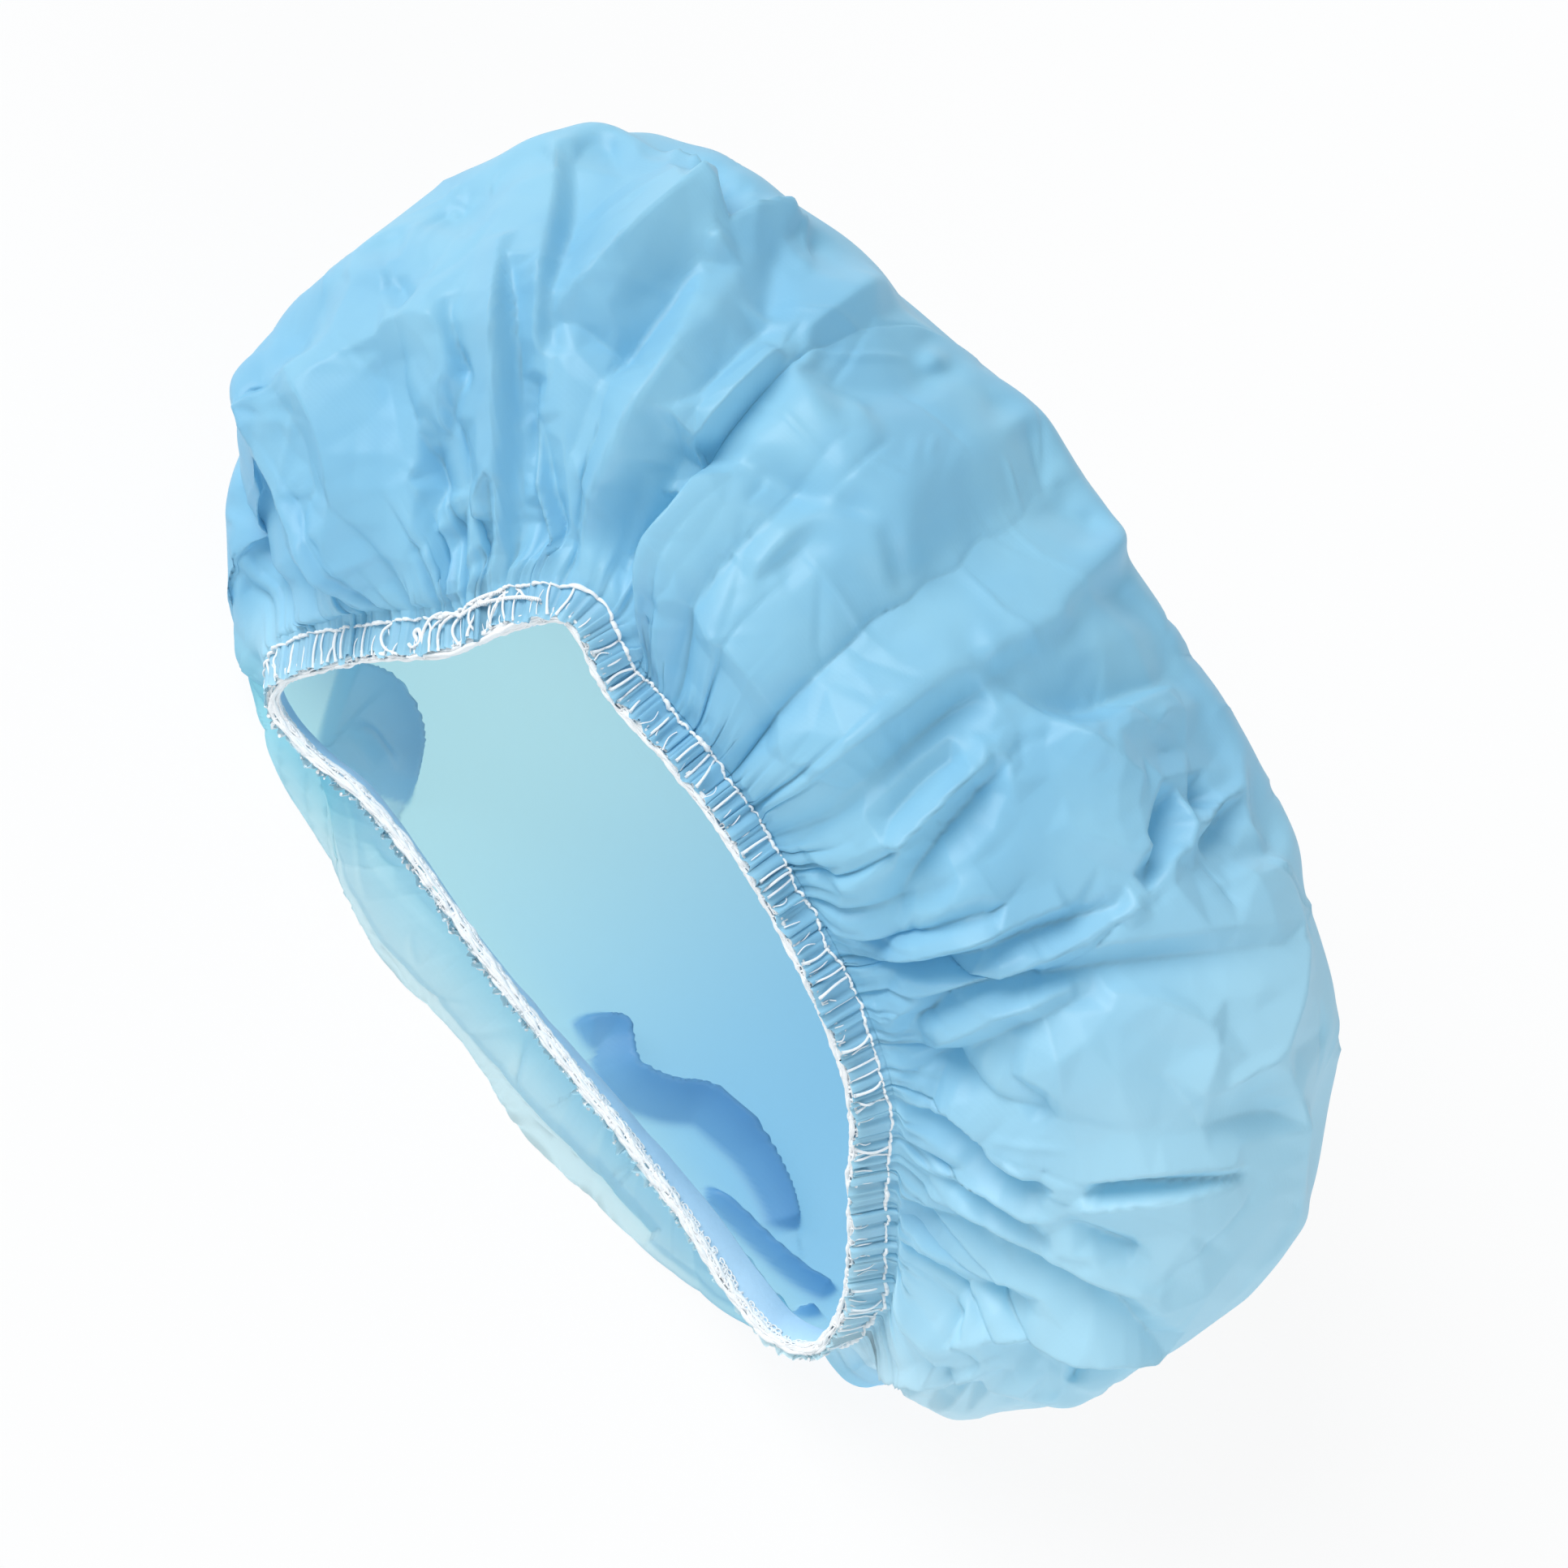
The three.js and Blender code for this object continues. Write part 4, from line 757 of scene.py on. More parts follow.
def seen_through_mouth(pixels):
    """Which pixels lie inside the mouth's outline in the photograph."""
    outline = to_photo(CURVE[::OUTLINE_STEP])
    inside = np.zeros(len(pixels), bool)
    for (x0, y0), (x1, y1) in zip(outline, np.roll(outline, -1, axis=0)):
        level = (y0 > pixels[:, 1]) != (y1 > pixels[:, 1])
        if y0 != y1:
            across = x0 + (pixels[:, 1] - y0) / (y1 - y0) * (x1 - x0)
            inside ^= level & (pixels[:, 0] < across)
    return inside


class Film:
    """The smooth film's points and what is needed to find places on it."""

    def __init__(self):
        self.grid, self.s, crown = smooth_body()
        self.normals = grid_normals(self.grid, crown)
        self.u = np.repeat(even(COLUMNS)[:, None], self.grid.shape[1], axis=1)
        self.points = self.grid.reshape(-1, 3)
        self.count = len(self.points)
        self.point_normals = self.normals.reshape(-1, 3)
        self.pixels = to_photo(self.points)
        self.toward = np.sum(self.point_normals * unit(CAMERA_AT - self.points), axis=-1)
        self.space = tree_of(self.points, range(self.count))
        self.trees = {}
        for outside, seen in ((True, self.toward > SEEN), (False, self.toward < -SEEN)):
            places = [(x, y, 0) for x, y in self.pixels[seen]]
            self.trees[outside] = tree_of(places, np.nonzero(seen)[0].tolist())
        self.add_nets()
        self.height, self.flat = np.zeros((2, len(self.points)))

    def taken(self):
        """What the creases raised so far; the next ones begin anew."""
        height, self.height = self.height, np.zeros(len(self.points))
        return height

    def add_nets(self):
        """Adds the corners of the flat facets to the film's points: those that the photograph
        shows, and random ones on the side that it doesn't."""
        sites, edges = net_sites()
        rng = np.random.default_rng(92)
        hidden = rng.uniform(HIDDEN_LOW, HIDDEN_HIGH, (HIDDEN_SITES, 2))
        self.nets = []
        for outside, pixels, lines in ((True, sites, edges), (False, hidden, [])):
            # Pixels beyond the film go to its outline; the ones too close together are merged.
            pixels = to_photo(self.under_pixels(pixels, outside)[0])
            corners, _, faces, *_ = delaunay_2d_cdt(
                [Vector(p) for p in pixels], lines, [], 0, NET_MERGE)
            corners = np.array([tuple(c) for c in corners])
            places, ways = self.under_pixels(corners, outside)
            start = len(self.points)
            self.nets.append((outside, corners, np.array([tuple(f) for f in faces]), start))
            self.points = np.vstack([self.points, places])
            self.point_normals = np.vstack([self.point_normals, ways])

    def lay_facets(self, shifted):
        """Moves the film's points onto the flat facets between the nets' shifted corners."""
        laid = shifted[:self.count].copy()
        for outside, corners, faces, start in self.nets:
            side = np.nonzero(self.toward > 0 if outside else self.toward < 0)[0]
            bins = {}
            for i in side:
                bins.setdefault(tuple((self.pixels[i] // NET_BIN).astype(int)), []).append(i)
            for face in faces:
                a, b, c = corners[face]
                low = (np.minimum(np.minimum(a, b), c) // NET_BIN).astype(int)
                high = (np.maximum(np.maximum(a, b), c) // NET_BIN).astype(int)
                near = [i for x in range(low[0], high[0] + 1) for y in range(low[1], high[1] + 1)
                        for i in bins.get((x, y), ())]
                area = (b[0] - a[0]) * (c[1] - a[1]) - (b[1] - a[1]) * (c[0] - a[0])
                if not near or abs(area) < 1e-6:
                    continue
                near = np.array(near)
                p = self.pixels[near]
                v = ((p[:, 0] - a[0]) * (c[1] - a[1]) - (p[:, 1] - a[1]) * (c[0] - a[0])) / area
                w = ((b[0] - a[0]) * (p[:, 1] - a[1]) - (b[1] - a[1]) * (p[:, 0] - a[0])) / area
                inside = (v >= 0) & (w >= 0) & (v + w <= 1)
                shares = np.stack([1 - v - w, v, w], axis=-1)[inside]
                laid[near[inside]] = shares @ shifted[start + face]
        # Close to the film's outline, as the camera sees it, the facets would stand on edge.
        share = smoothstep(np.abs(self.toward), *FADE_FACING)
        off = np.linalg.norm(laid - shifted[:self.count], axis=1)
        # Where it turns under at the table they would cut the turn off.
        share = share * (1 - smoothstep(off, *FADE_MOVE)) * smoothstep(
            self.grid[..., 2].ravel(), *FADE_HEIGHT)
        return shifted[:self.count] + (laid - shifted[:self.count]) * share[:, None]

    def under_pixels(self, pixels, outside=True):
        """Places on the film under pixels of the photograph, with their normals."""
        places, ways = [], []
        for x, y in pixels:
            found = self.trees[outside].find_n((x, y, 0), FOUND)
            weights = np.array([1 / (FOUND_SOFT + distance) for _, _, distance in found])
            weights /= weights.sum()
            index = [i for _, i, _ in found]
            places.append(weights @ self.points[index])
            ways.append(weights @ self.point_normals[index])
        places, ways = np.array(places), unit(np.array(ways))
        # What is missing to each pixel is made up along the film.
        missing = (np.asarray(pixels)[:, :2] - to_photo(places)) * MM_PER_PIXEL
        move = missing[:, :1] * IMAGE_RIGHT - missing[:, 1:] * IMAGE_UP
        facing = ways @ E_C
        share = smoothstep(np.abs(facing), *SNAP_FACING) * (
            1 - smoothstep(np.linalg.norm(move, axis=-1), SNAP, 2 * SNAP))
        facing = np.where(facing < 0, -1, 1) * np.maximum(np.abs(facing), SNAP_FACING[0])
        move = move - (np.sum(move * ways, -1) / facing)[:, None] * E_C
        return places + move * share[:, None], ways

    def press(self, path, ways, heights, left, right, rounded=False):
        """Raises or lowers the film along a path, less and less away from it on both sides."""
        reach = max(left, right)
        centre = path.mean(axis=0)
        radius = np.linalg.norm(path - centre, axis=1).max() + reach
        near = np.nonzero(np.linalg.norm(self.points - centre, axis=1) < radius)[0]
        if not len(near) or len(path) < 2:
            return
        points, normals = self.points[near], self.point_normals[near]
        best = np.full(len(near), np.inf)
        signed, level = np.zeros(len(near)), np.zeros(len(near))
        for i in range(len(path) - 1):
            a, along = path[i], path[i + 1] - path[i]
            size = along @ along
            if size < 1e-8:
                continue
            t = np.clip((points - a) @ along / size, 0, 1)
            away = points - a - t[:, None] * along
            distance = np.linalg.norm(away, axis=1)
            better = (distance < best) & (normals @ ways[i] > CREASE_FACING)
            best[better] = distance[better]
            sideways = np.cross(ways[i], along)
            signed[better] = np.sign(away[better] @ sideways)
            level[better] = (heights[i] + (heights[i + 1] - heights[i]) * t)[better]
        width = np.where(signed >= 0, left, right)
        share = np.clip(1 - best / width, 0, 1)
        if rounded:
            share = smoothstep(share, 0, 1) * smoothstep(normals @ ways[0], *ROUND_FACING)
        else:
            share = share ** CREASE_SHARPNESS
        self.height[near] += level * share

    def crease(self, left, right, pixels, outside=True):
        """Presses a crease of the photograph into the film."""
        run = crease_run(pixels, CREASE_STEP)
        path, ways = self.under_pixels(run[:, :2], outside)
        for _ in range(3):
            for values in (path, ways):
                values[1:-1] = (values[:-2] + 2 * values[1:-1] + values[2:]) / 4
        self.press(path, ways, run[:, 2], left, right)

    def touch(self, x, y, height, width):
        """Raises or lowers a round place of the film."""
        path, ways = self.under_pixels([(x, y)])
        self.press(np.vstack([path, path + MM]), np.vstack([ways, ways]), (height, height),
                   width, width, rounded=True)

    def cut(self, at, way, depth):
        """Flattens the film where it stands out of a plane."""
        near = np.nonzero(np.linalg.norm(self.points - at, axis=1) < FACET_REACH)[0]
        facing = self.point_normals[near] @ way
        near, facing = near[facing > FACET_FACING], facing[facing > FACET_FACING]
        proud = (self.points[near] - at) @ way + depth
        proud = np.clip(proud / facing, 0, FACET_LIMIT)
        self.flat[near] = np.maximum(self.flat[near], proud)

    def cut_facets(self):
        """Cuts the photograph's flat panels, and random ones on the hidden side."""
        for x, y, depth, right, down in FACETS.values():
            at, way = self.under_pixels([(x, y)])
            lean = math.tan(math.radians(right)) * IMAGE_RIGHT - math.tan(
                math.radians(down)) * IMAGE_UP
            self.cut(at[0], unit(way[0] + lean), depth)
        rng = np.random.default_rng(81)
        hidden = np.nonzero((self.toward < 0.0) & (self.points[:self.count, 2] > HIDDEN_HEIGHT)
                            & (self.s.ravel() > HIDDEN_FROM_HEM))[0]
        chosen = []
        while len(chosen) < HIDDEN_FACETS:
            i = int(rng.choice(hidden))
            if all(np.linalg.norm(self.points[i] - self.points[k]) > HIDDEN_GAP for k in chosen):
                chosen.append(i)
                lean = rng.uniform(-HIDDEN_LEAN, HIDDEN_LEAN, 3)
                self.cut(self.points[i], unit(self.point_normals[i] + lean),
                         rng.uniform(*HIDDEN_DEPTH))

    def wrinkle(self, count, seed, length, height, width, low, facing):
        """Short random creases further than a distance from the hem, on film that faces the
        camera by no more than a share."""
        rng = np.random.default_rng(seed)
        allowed = np.nonzero((self.s > low).ravel() & (self.toward < facing)
                             & ((self.toward > 0)
                                | (self.points[:self.count, 2] > HIDDEN_HEIGHT)))[0]
        for _ in range(count):
            i = int(rng.choice(allowed))
            way, turn = unit(rng.normal(size=3)), rng.normal(size=3) * WRINKLE_TURN
            at, path, ways = self.points[i], [], []
            steps = max(4, int(rng.uniform(*length) / WRINKLE_STEP))
            for step in range(steps):
                path.append(at)
                ways.append(self.point_normals[i])
                way = unit(way - self.point_normals[i] * (way @ self.point_normals[i])
                           + turn / steps)
                i = self.nearest(at + WRINKLE_STEP * way)
                at = self.points[i]
            level = rng.uniform(*height) * rng.choice(WRINKLE_SIGNS)
            heights = level * np.sin(math.pi * (np.arange(steps) + 0.5) / steps) ** WRINKLE_POWER
            left, right = rng.uniform(*width, 2)
            self.press(np.array(path), np.array(ways), heights, left, right)

    def nearest(self, at):
        """The number of the film's point closest to a place."""
        return self.space.find(at)[1]


# The film
def softened(grid, share, passes):
    """A grid of points, evened out where the share is high."""
    grid = grid.copy()
    for _ in range(passes):
        around = (np.roll(grid, 1, axis=0) + np.roll(grid, -1, axis=0))[:, 1:-1]
        around = (around + grid[:, 2:] + grid[:, :-2]) / 4
        grid[:, 1:-1] += share[:, 1:-1, None] * (around - grid[:, 1:-1])
    return grid


def flat_film(film):
    """The film in flat panels and large creases, and how free each place is to fold."""
    film.cut_facets()
    for left, right, pixels in CREASES.values():
        film.crease(left, right, pixels)
    film.wrinkle(**LONG_WRINKLES)
    rng = np.random.default_rng(93)
    facing = np.sum(film.point_normals * unit(CAMERA_AT - film.points), axis=-1)
    hidden = slice(film.nets[1][3], None)
    film.height[hidden] += rng.uniform(*HIDDEN_RELIEF, len(film.points[hidden])) * smoothstep(
        -facing[hidden], *HIDDEN_TURN)
    # The underside lies smooth on the table, and so does what shows through the mouth.
    settled = smoothstep(-film.point_normals[:, 2], *SETTLED_TURN)
    free = 1 - settled * (1 - smoothstep(film.points[:, 2], *SETTLED_HEIGHT))
    free[(facing < 0) & seen_through_mouth(to_photo(film.points))] = 0
    shift = (film.taken() - film.flat) * free
    laid = film.lay_facets(film.points + film.point_normals * shift[:, None])
    laid = laid.reshape(film.grid.shape)
    away = np.linalg.norm(film.pixels - SOFT_PLACE, axis=1).reshape(film.s.shape)
    laid = softened(laid, 1 - smoothstep(away, *SOFT_REACH), SOFT_PASSES)
    toward = film.toward.reshape(film.s.shape)
    turned = smoothstep(toward, *SOFT_BACK) * (1 - smoothstep(toward, *SOFT_FRONT))
    turned = turned * smoothstep(film.grid[..., 2], *SOFT_HEIGHT)
    return softened(laid, turned, SOFT_TURN_PASSES), free


def film_points():
    """The film's points, its crown, and how much each point belongs to doubled film."""
    film = Film()
    laid, free = flat_film(film)
    film.wrinkle(**SHORT_WRINKLES)
    fine = film.taken() * free
    for left, right, pixels in INNER_FOLDS.values():
        film.crease(left, right, pixels, outside=False)
    folds = film.taken()
    for touch in OUTLINE_TOUCHES:
        film.touch(*touch)
    fine = (fine - folds + film.taken())[:film.count].reshape(film.s.shape)
    grid, begun = film.grid, smoothstep(film.s, *FOLDS_FROM_HEM)
    out, side = gather_shift(film.u, film.s)
    out = out + fine * begun
    round_way = unit(np.roll(grid, -1, axis=0) - np.roll(grid, 1, axis=0))
    points = grid + (laid - grid) * begun[..., None]
    points = points + film.normals * out[..., None] + round_way * side[..., None]
    points[..., 2] = TABLE_GAP + 0.5 * (points[..., 2] + np.hypot(points[..., 2], TABLE_SOFTNESS))
    return points, points[:, -1].mean(axis=0), smoothstep(folds[:film.count], *DOUBLED)


def make_film():
    """The film's surface, shut by a fan of triangles at the crown."""
    points, crown, doubled = film_points()
    columns, rows = points.shape[:2]
    vertices = np.vstack([points.reshape(-1, 3), crown[None]])
    faces = grid_faces(columns, rows)
    last = len(vertices) - 1
    faces += [((i % columns) * rows + rows - 1, ((i + 1) % columns) * rows + rows - 1, last)
              for i in range(columns)]
    film = link("film", vertices, faces)
    folded = film.data.attributes.new("doubled", "FLOAT", "POINT")
    folded.data.foreach_set("value", np.append(doubled, 0.0))
    return film


# Tubes
def tube(path, radius, sides=6, closed=False):
    """Vertices and faces of a round tube; the radius may change along it."""
    path = np.asarray(path, float)
    n = len(path)
    if closed:
        tangent = unit(np.roll(path, -1, 0) - np.roll(path, 1, 0))
    else:
        tangent = unit(np.gradient(path, axis=0))
    normal = np.cross(tangent[0], [0, 0, 1.0])
    if np.linalg.norm(normal) < 1e-3:
        normal = np.cross(tangent[0], [1.0, 0, 0])
    frames = [unit(normal)]
    for way in tangent[1:]:
        frames.append(unit(frames[-1] - way * (frames[-1] @ way)))
    frames = np.array(frames)
    twist = np.zeros(n)
    if closed:
        # The rings turn a little along the tube, so that the last one meets the first.
        end = unit(frames[-1] - tangent[0] * (frames[-1] @ tangent[0]))
        angle = math.atan2(np.cross(frames[0], end) @ tangent[0], frames[0] @ end)
        twist = -angle * even(n)
    other = np.cross(tangent, frames)
    turn = (even(sides) * TAU)[None, :] + twist[:, None]
    ring = (frames[:, None] * np.cos(turn)[..., None]
            + other[:, None] * np.sin(turn)[..., None]) * np.broadcast_to(radius, n)[:, None, None]
    return (path[:, None] + ring).reshape(-1, 3), ring_faces(n, sides, closed)


def join(parts):
    """The vertices and faces of several meshes as one."""
    vertices, faces, base = [], [], 0
    for v, f in parts:
        vertices.append(v)
        faces += [[k + base for k in face] for face in f]
        base += len(v)
    return np.vstack(vertices), faces


# The elastic
# Its lapped ends lie at this place round the rim, and reach this share of it to both sides.
LAP_PLACE, LAP_REACH = 0.42, 0.018
# Its last part lies this much deeper, in mm, and goes down there over this share of the rim.
LAP_LIFT, LAP_EASE = 1.2, 0.02
# Its outer face lies this much under the hem's, and it wavers across the hem and out of it.
ELASTIC_STEPS, ELASTIC_SINK = 720, 0.2
ELASTIC_ACROSS, ELASTIC_OUT = (0.12, 61, 31), (0.15, 90, 32)
# Its section with rounded edges: across the hem and out of it, in mm.
ELASTIC_SECTION = (
    (0.3, 0), (0.55, 0.16), (4.3, 0.2), (8.0, 0.16), (8.3, 0),
    (8.3, -0.7), (8.0, -0.9), (4.3, -0.98), (0.55, -0.9), (0.3, -0.7),
)


def make_elastic():
    """The strip in the hem, once round and lapped."""
    end = LAP_PLACE + 1 + LAP_REACH
    u = np.linspace(LAP_PLACE - LAP_REACH, end, ELASTIC_STEPS)
    lift = LAP_LIFT * (1 - smoothstep(end - u, 2 * LAP_REACH, 2 * LAP_REACH + LAP_EASE))
    grid = np.stack([by_rim(u, wavering(across, u, ELASTIC_ACROSS),
                            wavering(out - ELASTIC_SINK - lift, u, ELASTIC_OUT))
                     for across, out in ELASTIC_SECTION], axis=1)
    return link("elastic", grid.reshape(-1, 3),
                ring_faces(ELASTIC_STEPS, len(ELASTIC_SECTION), clockwise=True))


# The seam's threads
# Places are across the hem from its edge and out of the band, in mm. A thread that hugs the hem
# follows this share of its pleats.
# The needle's thread has so many points to a rib.
NEEDLE_STEPS, NEEDLE_HUG, NEEDLE_OUT, NEEDLE_RADIUS = 7, 0.9, 0.65, 0.32
NEEDLE_ACROSS, NEEDLE_SWELL = ((0.55, 75, 41), (0.3, 230, 46)), (0.12, 420, 42)
# The needle's thread has knots: how often, their seed and least size, how far out and how thick.
KNOTS, KNOT_FROM, KNOT_OUT, KNOT_SWELL = (170, 40), 0.2, 0.3, 0.4
# A rung's points, foot, least height, bow and how much thicker its foot is.
RUNG_STEPS, RUNG_FOOT, RUNG_OUT, RUNG_BOW, RUNG_SWELL = 12, 0.1, 0.15, 0.5, 0.7
# How many rungs are strong. Strong and weak ones: how far they end past the needle's line, their
# radius and how they hug the hem.
STRONG_SHARE = 0.45
STRONG_END, STRONG_RADIUS, STRONG_HUG = 0.2, (0.22, 0.32), 0.95
WEAK_END, WEAK_RADIUS, WEAK_HUG = (-4.5, -0.5), (0.1, 0.17), 0.75
# How far they lean and bow to the side, and how far apart they stand.
RUNG_LEAN, RUNG_ASIDE, RUNG_GAP = 0.8, 0.5, (1.5, 3.6)
# The white edge's strands lie in an arc round the hem's edge: how far up the hem it begins, how
# far it bows out past the edge, and where it begins outside and how far it goes in.
EDGE_STRANDS, EDGE_STEPS, EDGE_RADIUS = 6, 5, 0.4
EDGE_UP, EDGE_BOW, EDGE_OUTSIDE, EDGE_INWARD = 0.75, 1.1, 1.2, 2.4
# Each strand wavers across, out and in its radius: how far, how often, how much more often for
# each further strand, and the first strand's seed.
EDGE_ACROSS, EDGE_OUT, EDGE_SWELL = (0.32, 150, 13, 50), (0.28, 170, 7, 60), (0.2, 300, 0, 70)
# Wraps go round the edge between these turns, and wider than the strands.
WRAP_TURN, WRAP_STEPS, WRAP_BOW, WRAP_LEGS = (-0.2 * math.pi, 1.3 * math.pi), 9, 1.15, 0.9
WRAP_OUT, WRAP_ROUND, WRAP_JITTER, WRAP_DRIFT, WRAP_RADIUS = 0.1, 1.4, 0.4, 1.2, (0.16, 0.36)
# Teeth run up some of the pleats: how many, from where, how far, how they lean and grow thin.
TOOTH_SHARE, TOOTH_STEPS, TOOTH_FOOT, TOOTH_TOP = 0.6, 6, 0.2, (1.2, 3.4)
TOOTH_LEAN, TOOTH_RADIUS, TOOTH_HUG, TOOTH_OUT = 0.35, (0.24, 0.05), 0.8, 0.1
# The chain's two rows of loops: how many of them there are, how far along, across and out each
# lies and how unevenly across, half its length, half its width and its radius.
CHAIN_ROWS = (
    (1, 0, 0.7, -1.2, 0.2, 0.85, (0.55, 0.8), 0.24),
    (0.6, 0.6, 1.9, -1.25, 0.25, 0.8, (0.4, 0.6), 0.19),
)
# A loop's points, and how far apart the loops lie.
CHAIN_STEPS, CHAIN_GAP = 10, (1.3, 1.7)
# The threads where the seam runs on over its start. Each has its radius and how far it stands
# out, then its way: how far along the rim from the elastic's lap, and across the hem, in mm.
OVERLAP_THREADS = (
    (0.34, 1.0, [(46, 7.6), (48.4, 5.6), (48.6, 3.4), (47, 1.2), (44, 0.2)]),
    (0.4, 1.6, [(35.5, 0.3), (36.2, 2.6), (35.6, 5.2), (33.4, 7.4), (30, 8.3), (27.5, 7.6)]),
    (0.3, 1.2, [(34.2, 0.5), (34.4, 3), (32.6, 5.6), (28.6, 7), (25, 7.2)]),
    (0.36, 1.7, [(31.4, 0.2), (31, 2.6), (29.4, 4.8), (26.4, 6.4), (22.8, 6.9)]),
    (0.36, 1.4, [(24.6, 0), (25.2, 2.2), (25, 4.4), (24.2, 6.4)]),
    (0.3, 1.5, [(14.8, 0.6), (12.6, 2), (10.8, 4), (10.2, 6.2), (7.4, 7.8)]),
    (0.24, 1.9, [(13.6, 0.4), (11.6, 2.4), (10.4, 5), (8.8, 6.4)]),
    (0.3, 1.2, [(7.4, 8), (4.6, 6.4), (2.4, 4.4), (-1.4, 2.6)]),
    (0.3, 1.0, [(41.4, 2.4), (39.2, 1.4), (37, 2.2), (35.4, 1)]),
    (0.5, 1.3, [(38.6, 1.2), (36.6, 3.2), (37.6, 5.2), (39, 4.4), (37.6, 2)]),
    (0.28, 1.1, [(41, -0.4), (39, -0.9), (37, -0.2)]),
)
# How close their points lie, and how far out they all begin.
OVERLAP_STEP, OVERLAP_OUT = 0.35, 1.9
# The two twisted threads over the overlap, and the thick bundle along its edge, in the same way.
TWISTED_THREADS = (
    [(27.5, 7.4), (24.6, 6.6), (22.6, 5.6), (20.4, 7.4), (16, 7.8), (9.6, 7.4)],
    [(22.4, 5.8), (17, 6.3), (10, 5.6), (4, 4.8), (-1.6, 3)],
)
TWIST_STEP, TWIST_PITCH, TWIST_RADIUS, TWIST_THREAD, TWIST_OUT = 0.15, 1.3, 0.24, 0.26, 3.2
BUNDLE = [(37, 0.2), (31, -0.3), (25, -0.7), (18, -0.8), (11, -0.4), (5, 0.1), (-2, 0.3)]
# Each strand of the bundle: how far across and out it lies, and its radius.
BUNDLE_STRANDS = (
    (0, 0, 0.75), (0.7, 0.5, 0.5), (-0.5, 0.8, 0.5), (0.5, -0.8, 0.5), (1.3, 0.9, 0.3),
)
# How far out they all lie and how they waver. Their ends are thin, and swell with this power.
BUNDLE_OUT, BUNDLE_WANDER = 0.9, (0.2, 150, 9, 80)
BUNDLE_ENDS, BUNDLE_PART, BUNDLE_POWER = 0.35, (0.04, 0.96), 0.6
# The zigzag through the elastic's lap: its legs, the way along for each, where across the hem it
# begins and how far it goes, how deep it lies and bows, and its radius.
TACK_LEGS, TACK_STEPS, TACK_ALONG, TACK_RADIUS = 9, 10, 1.1, 0.25
TACK_FOOT, TACK_ACROSS, TACK_LEVEL, TACK_BOW = 2.6, 3.6, -2.35, 0.2


def hem_level(u, across):
    """How far the film's outer face stands out of the band, at places across the hem."""
    return HEM_LEVEL + gather_shift(u, across - HEM_WIDTH)[0]


def make_needle_thread():
    """The needle's line of thread round the hem."""
    u = even(RIBS * NEEDLE_STEPS)
    knots = np.clip(round_noise(u, *KNOTS), KNOT_FROM, 1) - KNOT_FROM
    across = wavering(NEEDLE_LINE, u, *NEEDLE_ACROSS)
    level = NEEDLE_HUG * hem_level(u, across) + NEEDLE_OUT + KNOT_OUT * knots
    radius = wavering(NEEDLE_RADIUS, u, NEEDLE_SWELL) + KNOT_SWELL * knots
    return join([tube(by_rim(u, across, level), radius, 7, closed=True)])


def rung(u, top, lean, aside, radius, hug):
    """A thread over the hem, from the edge to the needle's line, bowed like a J."""
    across = np.linspace(RUNG_FOOT, top, RUNG_STEPS)
    t = across / top
    place = u + (lean * t + aside * np.sin(math.pi * t)) / RIM_LENGTH
    level = hem_level(place, across) * hug + RUNG_OUT + RUNG_BOW * np.sin(math.pi * t)
    return tube(by_rim(place, across, level), radius * (1 + RUNG_SWELL * np.exp(-across)))


def make_rungs():
    """The rungs over the hem, strong and weak ones at uneven distances."""
    rng = np.random.default_rng(43)
    parts, at = [], 0.0
    while at < RIM_LENGTH - RUNG_GAP[0]:
        strong = rng.random() < STRONG_SHARE
        end = STRONG_END if strong else rng.uniform(*WEAK_END)
        lean, aside = rng.normal() * RUNG_LEAN, rng.normal() * RUNG_ASIDE
        radius = rng.uniform(*(STRONG_RADIUS if strong else WEAK_RADIUS))
        parts.append(rung(at / RIM_LENGTH, NEEDLE_LINE + end, lean, aside, radius,
                          STRONG_HUG if strong else WEAK_HUG))
        at += rng.uniform(*RUNG_GAP)
    return join(parts)


def strand_waver(value, u, k, size, count, more, seed):
    """A value that changes round the rim in its own way for each strand."""
    return wavering(value, u, (size, count + more * k, seed + k))


